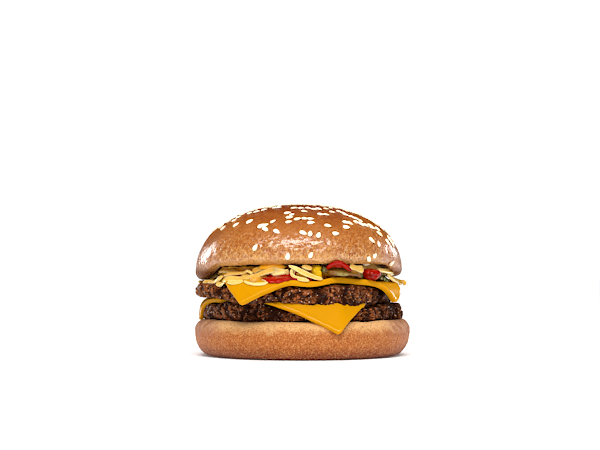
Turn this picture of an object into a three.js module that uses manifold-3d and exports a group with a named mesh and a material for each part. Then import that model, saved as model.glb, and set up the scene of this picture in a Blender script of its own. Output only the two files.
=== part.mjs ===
// Double cheeseburger: a seeded bun cut in two, two grilled patties, a slice of cheese on each,
// and onion, pickle, ketchup and mustard under the bun's top.
// Millimetres, +Z up. The origin is the middle of the bun's flat foot, and -Y is the burger's front.
// An azimuth is counted from the front and grows towards +X.

import * as THREE from "three";
import { ParametricGeometry } from "three/addons/geometries/ParametricGeometry.js";
import { mergeVertices } from "three/addons/utils/BufferGeometryUtils.js";
import Module from "manifold-3d";

const { degToRad, clamp, lerp, smoothstep } = THREE.MathUtils;

// ---- Driving dimensions ----

const GAP = 0.3; // between neighbouring pieces
const SLICE_GAP = 0.36; // under a slice of cheese, just over GAP so that no two cut faces coincide

const BUN_BOTTOM = {
  radius: 48.1, // where it is widest
  widestAt: 10.5,
  footRadius: 41,
  cutRadius: 43.4,
  height: 16,
  unevenness: 0.4,
};

const BUN_TOP = {
  centre: [-1.4, -0.5],
  radius: 45.9, // where it is widest
  top: 66.8,
  roundness: 2.17, // 2 is an ellipse, and more is squarer
  cutRadius: 42.4,
  curl: 3, // the height of the rounding under the widest part
  cutHeight: 39.5, // of the cut face over the filling
  cutLift: 0.8, // of the face's front over its middle
  cutLean: 0.5, // of the face's right end over its middle
  droop: 5.4, // of the two ends, which the filling doesn't hold up
  droopFrom: [33, 36.5], // from the middle, at the left and the right end
  unevenness: 0.4,
};

// A patty's front sags by sag over what lies under it, between the two azimuths of sagFrom.
const PATTY_EDGE = 3.6; // how far in the rounding of the edge reaches
const SAG_WIDTH = 5; // how far inside the rounding the sag begins
const SAG_FADE = 12; // how many degrees round the sag fades over
const PATTY_LOWER = {
  centre: [-0.1, 1.5],
  radius: 44.8,
  bottom: 16.3,
  top: 23.2,
  sag: 0,
  sagFrom: [-90, 90],
  lumps: 1.1,
  seed: 0.7,
};
const PATTY_UPPER = {
  centre: [-3.9, -3.5],
  radius: 43.8,
  bottom: 25.8,
  top: 31.1,
  sag: 2.3,
  sagFrom: [-44, 100],
  lumps: 1.1,
  seed: 4.4,
};

// reach runs from the patty's middle to the slice's four sides, the first of which faces azimuth turn.
// The slice folds over the edge with the inner radius bend, and hangs at an angle that changes from
// the first [azimuth, angle] of droop to the second. It is soft. Near each azimuth of swing it lies some
// degrees further round, near each of draw its edge is drawn in by a share, and near each of wave it
// lies higher where it bends. The third number of each is how many degrees round it reaches.
const CHEESE_CORNER = 1.6; // how far a corner is softened
const WAVE_WIDTH = 7; // how far inside the fold the waves begin
const CHEESE_FLAT = 0.85; // the share of a side's reach that lies flat at least
const CHEESE_LOWER = {
  patty: PATTY_LOWER,
  thick: 1.9,
  turn: -26.5,
  reach: [44.5, 40.4, 31, 34.4],
  foldFrom: 42,
  bend: 3.4,
  droop: [[-80, 84], [10, 60]],
  swing: [[-64, -29, 30], [101, 20, 30]],
  draw: [[-66, 0.02, 30], [-38, 0.118, 30], [-18, -0.05, 18], [16, -0.02, 30], [72, 0.12, 30]],
  wave: [],
};
const CHEESE_UPPER = {
  patty: PATTY_UPPER,
  thick: 2.3,
  turn: -67,
  reach: [41.2, 39.9, 37.2, 35.4],
  foldFrom: 42,
  bend: 5.2,
  droop: [[-20, 50], [60, 88]],
  swing: [[-109, -24, 30], [-20, -1.2, 30]],
  draw: [[-62, 0.13, 30], [-109, 0.09, 30], [-22, -0.02, 30]],
  wave: [[11, -0.8, 8], [28, 0.9, 12], [62, -0.9, 10]],
};

// The heap's top is lower by edgeDrop at its outline, over the width edge.
const ONION = { centre: [-4.5, -1.5], radius: 37.2, lobes: 1.6, edge: 6, edgeDrop: 0.8 };

// lean tips a piece's right side down, and pitch its front.
const PICKLE = { radius: 10.2, thick: 2, edge: 0.8, unevenness: 0.4 };
const PICKLES = {
  pickle_front: { at: [15.8, -32.6, 38.1], lean: 4, pitch: 6, seed: 0.5 },
  pickle_right: { at: [28.6, -15.8, 36.2], lean: 7, pitch: 3, seed: 1.9 },
};
const SAUCES = {
  ketchup_left: { at: [-7, -39.3, 34.8], size: [9, 7.4, 1.8], lean: 0, pitch: 10, seed: 1.7 },
  ketchup_middle: { at: [16.2, -37.4, 39.3], size: [6.2, 5.2, 1.9], lean: 9, pitch: 8, seed: 4.2 },
  ketchup_right: { at: [29.6, -31.2, 36.4], size: [3.9, 5.4, 2.2], lean: 4, pitch: 0, seed: 6.4 },
  mustard: { at: [5.8, -36.4, 37.4], size: [3.4, 6.8, 2.5], lean: 0, pitch: 0, seed: 9.3 },
};
const SAUCE_LOBES = 0.16; // of its size

// ---- Finishes ----

const finish = (color, roughness) => new THREE.MeshStandardMaterial({ color, roughness, metalness: 0 });
const FINISHES = {
  crust: finish(0xc27c40, 0.35),
  bun: finish(0xc98a52, 0.7),
  meat: finish(0x5a3220, 0.6),
  cheese: finish(0xf5ab10, 0.3),
  onion: finish(0xf2d488, 0.35),
  pickle: finish(0x6d7030, 0.25),
  ketchup: finish(0xb01c08, 0.2),
  mustard: finish(0xf2c018, 0.3),
};

// ---- Building blocks ----

const wasm = await Module();
wasm.setup();

// A closed geometry as a solid for cutting.
function solidOf(geometry) {
  geometry.deleteAttribute("normal");
  geometry.deleteAttribute("uv");
  const merged = mergeVertices(geometry, 1e-4);
  return new wasm.Manifold(new wasm.Mesh({
    numProp: 3,
    vertProperties: merged.attributes.position.array,
    triVerts: new Uint32Array(merged.index.array),
  }));
}

// A solid as a geometry again. A cut can leave crumbs, so only the largest body stays.
function geometryOf(solid) {
  const body = solid.decompose().reduce((a, b) => (b.volume() > a.volume() ? b : a));
  const { vertProperties, triVerts } = body.getMesh();
  return new THREE.BufferGeometry()
    .setAttribute("position", new THREE.BufferAttribute(vertProperties, 3))
    .setIndex(new THREE.BufferAttribute(triVerts, 1));
}

// Unevenness that runs smoothly round an outline, from -1 to 1, with the given number of waves.
function around(azimuth, waves, seed) {
  const long = Math.sin(waves * azimuth + 5 * seed);
  const middle = 0.7 * Math.sin((waves + 1) * azimuth + 11 * seed);
  const short = 0.5 * Math.sin((2 * waves + 1) * azimuth + 17 * seed);
  return (long + middle + short) / 2.2;
}

// A round body: profile(v, azimuth) gives [radius, z] from the middle of its underside, v = 0,
// over its rim to the middle of its top, v = 1.
function roundBody([cx, cy], profile, segments, stacks) {
  return new ParametricGeometry((u, v, target) => {
    const azimuth = 2 * Math.PI * u;
    const [radius, z] = profile(v, azimuth);
    const r = v === 0 || v === 1 ? 0 : radius;
    target.set(cx + r * Math.sin(azimuth), cy - r * Math.cos(azimuth), z);
  }, segments, stacks);
}

// A quarter of a superellipse, from [across, 0] at t = 0 to [0, up] at t = 1.
function quarter(t, across, up, roundness) {
  const angle = (t * Math.PI) / 2;
  return [across * Math.cos(angle) ** (2 / roundness), up * Math.sin(angle) ** (2 / roundness)];
}

// ---- Bun ----

function bunBottom() {
  const { radius, widestAt, footRadius, cutRadius, height, unevenness } = BUN_BOTTOM;
  const [foot, side, shoulder] = [0.15, 0.5, 0.85];
  return roundBody([0, 0], (v, azimuth) => {
    const sway = unevenness * around(azimuth, 2, 0.4);
    if (v <= foot) return [footRadius * (v / foot), 0];
    if (v >= shoulder) return [(cutRadius + sway) * ((1 - v) / (1 - shoulder)), height];
    if (v < side) {
      const [out, down] = quarter((side - v) / (side - foot), radius + sway - footRadius, widestAt, 2);
      return [footRadius + out, widestAt - down];
    }
    const rounding = radius - cutRadius;
    const [out, up] = quarter((v - side) / (shoulder - side), rounding, height - widestAt, 2.2);
    return [cutRadius + sway + out, widestAt + up];
  }, 48, 13);
}

// The height of the cut face under the bun's top, which lies on the filling and droops at its ends.
function cutFaceAt(x, y) {
  const { centre, cutRadius, cutHeight, cutLift, cutLean, droop, droopFrom } = BUN_TOP;
  const across = x - centre[0];
  const back = y - centre[1];
  const [left, right] = droopFrom;
  const end = smoothstep(-across, left, cutRadius - 1) + smoothstep(across, right, cutRadius + 1);
  return cutHeight + (cutLean * across - cutLift * back) / cutRadius - droop * end;
}

// lowered makes a copy whose underside hangs lower, to cut a gap from what lies under it.
function bunTop(lowered = 0) {
  const { centre, radius, top, roundness, cutRadius, curl, unevenness } = BUN_TOP;
  const [rim, side] = [0.22, 0.42];
  const faceAt = (r, azimuth) =>
    cutFaceAt(centre[0] + r * Math.sin(azimuth), centre[1] - r * Math.cos(azimuth)) - lowered;
  return roundBody(centre, (v, azimuth) => {
    const sway = unevenness * around(azimuth, 2, 2.1);
    const rimZ = faceAt(cutRadius, azimuth);
    if (v <= rim) {
      const r = cutRadius * (v / rim);
      return [r, faceAt(r, azimuth)];
    }
    if (v < side) {
      const [out, down] = quarter((side - v) / (side - rim), radius + sway - cutRadius, curl, 2);
      return [cutRadius + out, rimZ + curl - down];
    }
    const [r, up] = quarter((v - side) / (1 - side), radius + sway, top - rimZ - curl, roundness);
    return [r, rimZ + curl + up];
  }, 48, 15);
}

// ---- Patties ----

// A patty is nearly flat over and under, and lumpy round its edge.
function patty({ centre, radius, bottom, top, sag, sagFrom, lumps, seed }) {
  const [under, over] = [0.28, 0.78];
  return roundBody(centre, (v, azimuth) => {
    const outline = radius + lumps * (0.6 * around(azimuth, 2, seed) + 0.7 * around(azimuth, 7, seed));
    const flat = outline - PATTY_EDGE;
    const facing = Math.atan2(Math.sin(azimuth), Math.cos(azimuth));
    const [from, to] = sagFrom.map(degToRad);
    const fade = degToRad(SAG_FADE);
    const sagging = smoothstep(facing, from - fade, from + fade) * smoothstep(-facing, -to - fade, fade - to);
    const bottomAt = (r) => bottom - sag * sagging * smoothstep(r, flat - SAG_WIDTH, flat);
    if (v <= under) {
      const r = flat * (v / under) ** 0.5;
      return [r, bottomAt(r)];
    }
    if (v >= over) return [flat * ((1 - v) / (1 - over)) ** 0.5, top];
    const angle = Math.PI * ((v - under) / (over - under) - 0.5);
    const middle = (top + bottomAt(flat)) / 2;
    const lump = 0.5 * lumps * around(azimuth + angle / 4, 9, seed);
    const out = PATTY_EDGE * Math.cos(angle) ** 0.8 + lump * Math.cos(angle);
    return [flat + out, middle + (top - middle) * Math.sin(angle)];
  }, 46, 11);
}

// ---- Cheese ----

// Where a point of a slice lies once it has folded over its patty: flat, round the edge, then hanging.
// along runs from the patty's middle over the slice, and above is the height over its underside.
function draped(cheese, azimuth, along, above) {
  const { patty: { centre, top }, foldFrom, bend, droop: [[from, first], [to, second]], wave } = cheese;
  const steepest = degToRad(lerp(first, second, smoothstep(azimuth, degToRad(from), degToRad(to))));
  const angle = clamp((along - foldFrom) / bend, 0, steepest);
  const hanging = Math.max(0, along - foldFrom - steepest * bend);
  const r = Math.min(along, foldFrom) + (bend + above) * Math.sin(angle) + hanging * Math.cos(angle);
  const drop = (bend + above) * (1 - Math.cos(angle)) + hanging * Math.sin(angle);
  const waving = summed(wave, azimuth) * smoothstep(along, foldFrom - WAVE_WIDTH, foldFrom);
  const z = top + SLICE_GAP + above - drop + waving;
  return [centre[0] + r * Math.sin(azimuth), centre[1] - r * Math.cos(azimuth), z];
}

// The sum of smooth bumps, each [the azimuth of its middle, its height, its width].
const summed = (bumps, azimuth) => bumps.reduce((sum, [at, height, width]) => {
  const apart = azimuth - degToRad(at);
  const away = Math.atan2(Math.sin(apart), Math.cos(apart)) / degToRad(width);
  return sum + height * Math.exp(-(away ** 2));
}, 0);

// grown makes a copy that reaches further on every side, to cut a gap from what lies against it.
function cheeseSlice(cheese, grown = 0) {
  const { reach, thick, turn, foldFrom, swing, draw } = cheese;
  const steps = 14;
  const flatRings = 6 / steps; // the share of the grid's rings on the flat part
  const spread = 1.3; // over 1, so that the rings are closest where the slice folds
  const geometry = new THREE.BoxGeometry(2, 2, thick, steps, steps, 1);
  const position = geometry.attributes.position;
  for (let i = 0; i < position.count; i += 1) {
    const ring = Math.max(Math.abs(position.getX(i)), Math.abs(position.getY(i)));
    const across = ring > 0 ? position.getX(i) / ring : 1;
    const aside = ring > 0 ? position.getY(i) / ring : 0;
    // the slice's edge in this direction, with its corner softened
    const corner = CHEESE_CORNER * smoothstep(Math.abs(across * aside), 0.7, 1);
    const edge = [across * reach[across > 0 ? 0 : 2], aside * reach[aside > 0 ? 1 : 3]];
    const facing = Math.atan2(edge[1], edge[0]) + degToRad(turn);
    const azimuth = Math.atan2(Math.sin(facing), Math.cos(facing));
    const outline = (Math.hypot(...edge) - corner) * (1 - summed(draw, azimuth));
    const flat = Math.min(foldFrom, CHEESE_FLAT * outline);
    const along = ring < flatRings
      ? (flat * ring) / flatRings
      : lerp(flat, outline, ((ring - flatRings) / (1 - flatRings)) ** spread);
    const swung = azimuth + degToRad(summed(swing, azimuth));
    const above = position.getZ(i) > 0 ? thick + grown : -grown;
    const beyond = ring > 0.99 ? grown * Math.hypot(across, aside) : 0;
    position.setXYZ(i, ...draped(cheese, swung, along + beyond, above));
  }
  return geometry;
}

// ---- Onion, pickles and sauces ----

// The heap of onion fills the space between the upper cheese and the bun's cut face.
function onionHeap() {
  const { centre, radius, lobes, edge, edgeDrop } = ONION;
  const under = 0.33; // the share of v on the underside, and on the top
  return roundBody(centre, (v, azimuth) => {
    const outline = radius + lobes * (around(azimuth, 4, 2.2) + around(azimuth, 9, 4.4));
    const r = outline * Math.min(1, Math.min(v, 1 - v) / under);
    const face = cutFaceAt(centre[0] + r * Math.sin(azimuth), centre[1] - r * Math.cos(azimuth));
    const high = face - 2 * GAP - edgeDrop * smoothstep(r, outline - edge, outline);
    return [r, lerp(PATTY_UPPER.top + GAP, high, smoothstep(v, under, 1 - under))];
  }, 36, 8);
}

// A slice of pickle, with a rounded edge.
function pickleSlice({ at, lean, pitch, seed }, grown = 0) {
  const { radius, thick, edge, unevenness } = PICKLE;
  const under = 0.25; // the share of v on the underside, and on the top
  const profile = (v, azimuth) => {
    const outline = radius + grown + unevenness * around(azimuth, 2, seed);
    const angle = Math.PI * (clamp((v - under) / (1 - 2 * under), 0, 1) - 0.5);
    const flat = (outline - edge) * Math.min(1, Math.min(v, 1 - v) / under);
    return [flat + edge * Math.cos(angle), (thick / 2 + grown) * Math.sin(angle)];
  };
  return roundBody([0, 0], profile, 24, 6)
    .rotateX(degToRad(pitch))
    .rotateY(degToRad(lean))
    .translate(...at);
}

// A dollop of sauce: a flattened ball with soft lobes.
function dollop({ at, size, lean, pitch, seed }, grown = 0) {
  const profile = (v, azimuth) => {
    const angle = Math.PI * (v - 0.5);
    return [Math.cos(angle) * (1 + SAUCE_LOBES * around(azimuth, 3, seed)), Math.sin(angle)];
  };
  return roundBody([0, 0], profile, 20, 8)
    .scale(...size.map((s) => s + grown))
    .rotateX(degToRad(pitch))
    .rotateY(degToRad(lean))
    .translate(...at);
}

// ---- Assembly ----

const burger = new THREE.Group();

function addPiece(name, geometry, material) {
  const mesh = new THREE.Mesh(geometry, FINISHES[material]);
  mesh.name = name;
  burger.add(mesh);
}

addPiece("bun_bottom", bunBottom(), "bun");
addPiece("cheese_lower", cheeseSlice(CHEESE_LOWER), "cheese");
addPiece("cheese_upper", cheeseSlice(CHEESE_UPPER), "cheese");
addPiece("bun_top", bunTop(), "crust");

// Each patty and filling is cut clear of the cheese, of the bun's top and of what was laid before it.
const laid = [CHEESE_LOWER, CHEESE_UPPER].map((cheese) => solidOf(cheeseSlice(cheese, GAP)));
laid.push(solidOf(bunTop(GAP)));

function lay(name, shape, grownShape, material) {
  const solid = laid.reduce((rest, other) => rest.subtract(other), solidOf(shape));
  addPiece(name, geometryOf(solid), material);
  if (grownShape) laid.push(solidOf(grownShape));
}

lay("patty_lower", patty(PATTY_LOWER), null, "meat");
lay("patty_upper", patty(PATTY_UPPER), null, "meat");
for (const [name, pickle] of Object.entries(PICKLES)) {
  lay(name, pickleSlice(pickle), pickleSlice(pickle, GAP), "pickle");
}
for (const [name, sauce] of Object.entries(SAUCES)) {
  lay(name, dollop(sauce), dollop(sauce, GAP), name.startsWith("ketchup") ? "ketchup" : "mustard");
}
lay("onion_heap", onionHeap(), null, "onion");

export default burger;
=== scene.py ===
"""A double cheeseburger: its bun, patties, cheese, onion, pickles and sauces, on a white studio floor."""

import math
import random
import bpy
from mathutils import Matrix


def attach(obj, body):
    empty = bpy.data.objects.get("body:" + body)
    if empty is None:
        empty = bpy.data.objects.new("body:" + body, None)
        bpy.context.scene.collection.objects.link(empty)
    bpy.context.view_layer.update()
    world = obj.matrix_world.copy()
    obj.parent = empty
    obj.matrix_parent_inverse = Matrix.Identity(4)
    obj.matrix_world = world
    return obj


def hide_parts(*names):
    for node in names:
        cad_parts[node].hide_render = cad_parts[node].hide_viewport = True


bl_info = {
    "name": "Double Cheeseburger",
    "version": (1, 0, 0),
    "blender": (4, 5, 0),
    "location": "3D View > Sidebar > Burger",
    "description": "Builds a double cheeseburger over its solids, with a floor, lights and a camera",
    "category": "Object",
}

import bpy
import numpy as np
from bpy.props import FloatProperty, FloatVectorProperty, IntProperty, PointerProperty
from bpy.types import Operator, Panel, PropertyGroup
from mathutils import Vector, noise
from mathutils.bvhtree import BVHTree

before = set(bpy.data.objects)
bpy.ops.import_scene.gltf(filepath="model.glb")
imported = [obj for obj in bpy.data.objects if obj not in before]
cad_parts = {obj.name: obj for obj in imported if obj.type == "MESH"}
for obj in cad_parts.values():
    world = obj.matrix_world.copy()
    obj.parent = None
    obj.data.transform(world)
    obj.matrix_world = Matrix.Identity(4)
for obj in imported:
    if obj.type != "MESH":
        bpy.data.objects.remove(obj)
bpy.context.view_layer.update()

MM = 0.001

# ---- The forms of the pieces, in mm, with azimuths in degrees from the front (-Y) towards +X ----

BUN_BOTTOM = dict(radius=48.1, widest=10.5, foot=41.0, cut=43.4, height=16.0, unevenness=0.4)
BUN_TOP = dict(
    centre=(-1.4, -0.5), radius=45.9, top=66.8, roundness=2.17, cut=42.4, curl=3.0,
    face=39.5, lift=0.8, lean=0.5, droop=5.4, droop_from=(33.0, 36.5), unevenness=0.4,
)
PATTY_EDGE = 3.6  # the roundness of a patty's rim
# A patty sags at its rim over the azimuths in sag_from, by sag and the bumps in sags. Each of its cracks has
# an azimuth and a width. Its rim is raised where no cheese holds it down: from and to which azimuths, how far
# out, and by how much.
PATTY_LOWER = dict(
    centre=(-0.1, 1.5), radius=44.8, bottom=16.3, top=23.2, lumps=1.1, seed=0.7,
    sag=0.8, sag_from=(-179, 179), sags=(), raised=((-60, -50), (-22, -14), (40.5, 43), 1.5),
    cracks=((-17, 3.0), (24, 1.5), (52, 1.8), (-52, 1.4), (74, 1.3), (118, 2.0), (165, 1.6), (-120, 2.0)),
)
PATTY_UPPER = dict(
    centre=(-3.9, -3.5), radius=43.8, bottom=25.8, top=31.1, lumps=1.1, seed=4.4,
    sag=2.3, sag_from=(-44, 100), sags=((-24, 0.5, 9), (-12, -0.8, 8), (18, 1.7, 14), (44, 2.0, 13)),
    raised=((-100, -85), (-52, -44), (36.5, 39.5), 1.1),
    cracks=((15.5, 2.4), (31, 1.6), (-46, 2.2), (62, 2.0), (-9, 1.2), (110, 2.0), (150, 1.5), (-140, 2.0)),
)
# How a slice lies: how far its sides are from the middle and how it is turned, where it folds over, how tight
# that bend is and how steeply it hangs, and bumps round it. A bump has its azimuth, amount and width in
# degrees. Swing turns the slice, draw shortens it, snug pulls the fold in and wave lifts it.
CHEESE_LOWER = dict(
    patty=PATTY_LOWER, thick=1.9, turn=-26.5, reach=(44.5, 40.4, 31.0, 34.4), fold=42.0, bend=3.4,
    droop=((-80, 90), (10, 60)), swing=((-64, -29, 30), (101, 20, 30), (15, 1.4, 7)),
    draw=(
        (-66, 0.02, 30), (-38, 0.118, 30), (-18, -0.05, 18), (-24, 0.035, 6), (16, -0.02, 30), (72, 0.12, 30),
        (-60, -0.03, 6), (-65, 0.03, 5), (-41, -0.04, 4), (-34, 0.055, 4.5), (14, 0.03, 10),
    ),
    snug=((-80, 1.9, 20),), wave=((-6, 0.5, 7), (8, -0.5, 6), (20, 0.4, 6), (40, -1.7, 12)), seed=2,
)
CHEESE_UPPER = dict(
    patty=PATTY_UPPER, thick=2.3, turn=-67.0, reach=(41.2, 39.9, 37.2, 35.4), fold=42.0, bend=5.2,
    droop=((-20, 50), (60, 88)), swing=((-109, -24, 30), (-20, -1.2, 30)),
    draw=(
        (-62, 0.13, 30), (-109, 0.09, 30), (-22, -0.02, 30), (12, -0.03, 8), (19, -0.035, 7), (32, -0.012, 9),
        (52, 0.04, 6), (-23, 0.018, 8), (66, 0.02, 8),
    ),
    snug=(), wave=((13, -0.9, 9), (28, 0.75, 11), (46, 0.2, 6), (62, -0.9, 10), (-2, 0.3, 6)), seed=5,
)
SLICE_GAP = 0.36  # between a patty and the cheese on it
SLICE_EDGE = 0.55  # the roundness of a slice's cut edge
CORNER_CUT = 0.9  # how much of a slice's corner is rounded away
SKIN_GAP = 0.12  # the least room between the meat and the cheese
LAYERS = {"lower": CHEESE_LOWER, "upper": CHEESE_UPPER}
HEAP = dict(centre=(-4.5, -1.5), radius=35.0, lobes=1.6)
PICKLE = dict(radius=10.2, thick=2.0, edge=0.8, unevenness=0.4)
# How many points each skin has round it.
COLUMNS = dict(bun_bottom=440, bun_top=520, patty=560, heap=260, pickle=180, dollop=48)
EYE = Vector((-0.95, -640.0, 38.0))  # where the camera stands
CAMERA = dict(lens=85.33, sensor_width=36, clip_start=0.01, clip_end=20)
CAMERA_TILT = 91.8  # 90 would look level ahead


def colour(hex_code):
    """A linear colour from the eight-bit code that a paint chart gives."""
    parts = [int(hex_code[i:i + 2], 16) / 255 for i in (0, 2, 4)]
    return tuple(p / 12.92 if p <= 0.04045 else ((p + 0.055) / 1.055) ** 2.4 for p in parts)


def paint(name, description, hex_code):
    """A colour that a user can change."""
    return FloatVectorProperty(
        name=name, description=description, subtype="COLOR", size=3, min=0, max=1, default=colour(hex_code)
    )


def length(name, description, millimetres):
    """A length that a user can change."""
    return FloatProperty(
        name=name, description=description, unit="LENGTH", precision=5, min=0, default=millimetres * MM
    )


def count(name, description, number):
    """A number of things that a user can change."""
    return IntProperty(name=name, description=description, min=0, default=number)


def light(name, description, strength, unit="NONE"):
    """The strength of a light that a user can change."""
    return FloatProperty(name=name, description=description, unit=unit, min=0, default=strength)


# ---- What a user can change ----


class BunSettings(PropertyGroup):
    rim: paint("Rim", "Crust near the cut, baked the least", "D29A52")
    side: paint("Side", "Crust halfway up", "A85F1E")
    top: paint("Top", "Crust on top, baked the most", "7E300C")
    # Partly the crust's own colour and partly painted sheen: pale on the tips of the wrinkles, most in the
    # lower half.
    fold: paint("Folds", "Dry tips of the wrinkles in the crust", "F0CFA0")
    crumb: paint("Crumb", "Bread inside the bun", "E8C48C")
    # Toast is also painted as shade on the underside of the drooping ends of the top half.
    toast: paint("Toast", "Toasted parts of the cut face", "5C2C12")
    pore: paint("Pores", "Pores in the toasted top half", "4A2812")
    heel_band: paint("Heel band", "Pale band round the upper edge of the bottom half", "D4A268")
    heel_side: paint("Heel side", "Side of the bottom half", "B0652E")
    heel_foot: paint("Heel foot", "Foot of the bottom half", "782F12")
    # Painted shade in the creases and on the upper edge at both ends of the bottom half, under the patty.
    heel_crease: paint("Heel crease", "Creases at the ends of the bottom half", "8A4C34")
    heel_pore: paint("Heel pores", "Pores in the toasted bottom half", "5A3218")
    wrinkle: length("Wrinkle height", "Height of the fine wrinkles in the crust", 0.13)
    dent: length("Dent height", "Height of the wide dents in the crust", 0.45)


class SeedSettings(PropertyGroup):
    hull: paint("Seed", "Hulled sesame", "FBEED2")
    tip: paint("Seed tip", "Toasted tip of a seed", "E8C08A")
    long: length("Seed length", "Length of a sesame seed", 3.3)
    wide: length("Seed width", "Width of a sesame seed", 2.05)
    thick: length("Seed thickness", "Thickness of a sesame seed", 0.95)
    strewn: count("Strewn seeds", "Seeds strewn over the back", 120)


class MeatSettings(PropertyGroup):
    # Charring, also painted as shade in the cracks, in the hollows between crumbs and at the foot.
    char: paint("Char", "Charred meat in the cracks", "2A1006")
    brown: paint("Brown", "Grilled meat", "925226")
    red: paint("Reddish brown", "Meat that is grilled less", "8C4A24")
    crisp: paint("Crisp", "Crisp crumbs of meat", "B8845A")
    # Pale spots that are partly rendered fat and partly painted glints on the wet meat.
    fat: paint("Fat", "Rendered fat", "EED2B8")
    shade: paint("Dark patches", "Meat that is grilled more", "361608")
    crumb_size: length("Crumb size", "Size of the crumbs of mince", 2.1)
    crumb_height: length("Crumb height", "How far the crumbs stand out", 0.5)
    crack_depth: length("Crack depth", "Depth of the cracks between lumps", 1.4)


class CheeseSettings(PropertyGroup):
    body: paint("Cheese", "Processed cheese", "BC8000")
    # Painted light: the cut edge, which mostly faces down, is painted paler than the body; this colour also
    # tints the body at random.
    edge: paint("Cut edge", "Cut edge of a slice", "CE8E04")
    ripple: length("Ripple", "Height of the soft ripples in a slice", 0.7)


class OnionSettings(PropertyGroup):
    flesh: paint("Onion", "Raw onion", "DFAE50")
    pale: paint("Pale onion", "The palest edges", "F4D496")
    rind: paint("Golden onion", "The thick middle of a strip", "C88A28")
    shade: paint("Heap inside", "The strips deep in the heap", "F0A010")
    strips: count("Strips", "Onion strips round the back and the sides", 150)


class PickleSettings(PropertyGroup):
    flesh: paint("Pickle", "Flesh of a pickled gherkin", "7A4E10")
    heart: paint("Pickle heart", "Flesh round the seeds", "806C2A")
    skin: paint("Pickle skin", "Skin of a gherkin", "28380E")
    ridge: paint("Pickle ridge", "Pale ridges in the skin", "A8AC70")
    seed: paint("Pickle seed", "Seeds of a gherkin", "9C8E52")
    vein: paint("Pickle veins", "Darker veins in the flesh", "5A4414")
    spot: paint("Pickle spots", "Brown spots on the cut side", "4A3A12")


class SauceSettings(PropertyGroup):
    ketchup: paint("Ketchup", "Tomato ketchup", "9E0C00")
    ketchup_deep: paint("Deep ketchup", "Streaks where the ketchup lies thick", "5A0500")
    mustard: paint("Mustard", "Yellow mustard", "D2A80A")
    mustard_deep: paint("Deep mustard", "Streaks where the mustard lies thick", "C09004")


class StageSettings(PropertyGroup):
    floor: paint("Floor", "Studio floor", "FDFDFD")
    sun: light("Overhead light", "Strength of the wide light from above", 2.35)
    front: light("Front softbox", "Power of the softbox over the camera", 2.4, "POWER")
    sides: light("Side softboxes", "Power of each softbox behind the burger", 0.75, "POWER")
    sky: light("Fill", "Strength of the light from all round", 0.3)


SETTINGS = {
    "bun": BunSettings, "seed": SeedSettings, "meat": MeatSettings, "cheese": CheeseSettings,
    "onion": OnionSettings, "pickle": PickleSettings, "sauce": SauceSettings, "stage": StageSettings,
}


def chosen(group):
    """The user's settings of one group."""
    return getattr(bpy.context.scene, "burger_" + group)


# ---- Curves and noise ----


def around(azimuth, waves, seed):
    """Unevenness that runs smoothly round an outline, from -1 to 1."""
    slow = np.sin(waves * azimuth + 5 * seed)
    middle = 0.7 * np.sin((waves + 1) * azimuth + 11 * seed)
    quick = 0.5 * np.sin((2 * waves + 1) * azimuth + 17 * seed)
    return (slow + middle + quick) / 2.2


def smooth(value, low, high):
    """0 up to low, 1 from high, and a soft step between."""
    t = np.clip((np.asarray(value, float) - low) / (high - low), 0, 1)
    return t * t * (3 - 2 * t)


def wrapped(angle):
    """The same angle in radians, from -pi to pi."""
    return np.arctan2(np.sin(angle), np.cos(angle))


def between(value, rise, fall):
    """1 between two soft steps, each given by where it starts and ends, and 0 outside them."""
    return smooth(value, *rise) * (1 - smooth(value, *fall))


def apart(azimuth, other):
    """How far an azimuth is from the other one, from -180 to 180 degrees."""
    return (azimuth - other + 180) % 360 - 180


def summed(bumps, azimuth):
    """The sum of bumps, each with its azimuth, height and width in degrees, at an azimuth in radians."""
    total = np.zeros_like(azimuth)
    for at, height, width in bumps:
        total += height * np.exp(-((wrapped(azimuth - math.radians(at)) / math.radians(width)) ** 2))
    return total


def tilted(points, lean, pitch):
    """Points turned round X by pitch and then round Y by lean, in degrees."""
    turned = np.array(points)
    for angle, a, b in ((pitch, 1, 2), (lean, 2, 0)):
        c, s = math.cos(math.radians(angle)), math.sin(math.radians(angle))
        first, second = turned[..., a].copy(), turned[..., b].copy()
        turned[..., a] = first * c - second * s
        turned[..., b] = first * s + second * c
    return turned


def quarter(t, across, up, roundness):
    """A quarter of a superellipse, from (across, 0) at t = 0 to (0, up) at t = 1."""
    angle = t * math.pi / 2
    return across * math.cos(angle) ** (2 / roundness), up * math.sin(angle) ** (2 / roundness)


def rumple(points, size, seed, octaves=2, stretch=(1, 1, 1)):
    """Soft bumps of the given size, from about -1 to 1."""
    shift = np.array([17.3, 5.1, 9.7]) * (seed + 1)
    places = np.asarray(points) / (size * np.array(stretch)) + shift
    return np.array([noise.fractal(p, 1.0, 2.0, octaves) for p in places.tolist()])


def pebbles(points, size, seed, stretch=(1, 1, 1)):
    """0 in the cracks between round lumps of the given size, rising to about 0.8 on the lumps."""
    shift = np.array([3.7, 11.9, 7.3]) * (seed + 1)
    places = np.asarray(points) / (size * np.array(stretch)) + shift
    near = np.array([noise.voronoi(p)[0][:2] for p in places.tolist()])
    return near[:, 1] - near[:, 0]


def curve_through(points, count):
    """A smooth line of count points through the given ones."""
    points = np.asarray(points, float)
    padded = np.vstack([2 * points[0] - points[1], points, 2 * points[-1] - points[-2]])
    t = np.linspace(0, len(points) - 1, count)
    i = np.minimum(t.astype(int), len(points) - 2)
    f = (t - i)[:, None]
    a, b, c, d = padded[i], padded[i + 1], padded[i + 2], padded[i + 3]
    return 0.5 * (2 * b + (c - a) * f + (2 * a - 5 * b + 4 * c - d) * f**2 + (3 * b - a - 3 * c + d) * f**3)


# ---- Skins: rings of points that close at both ends ----


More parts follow.
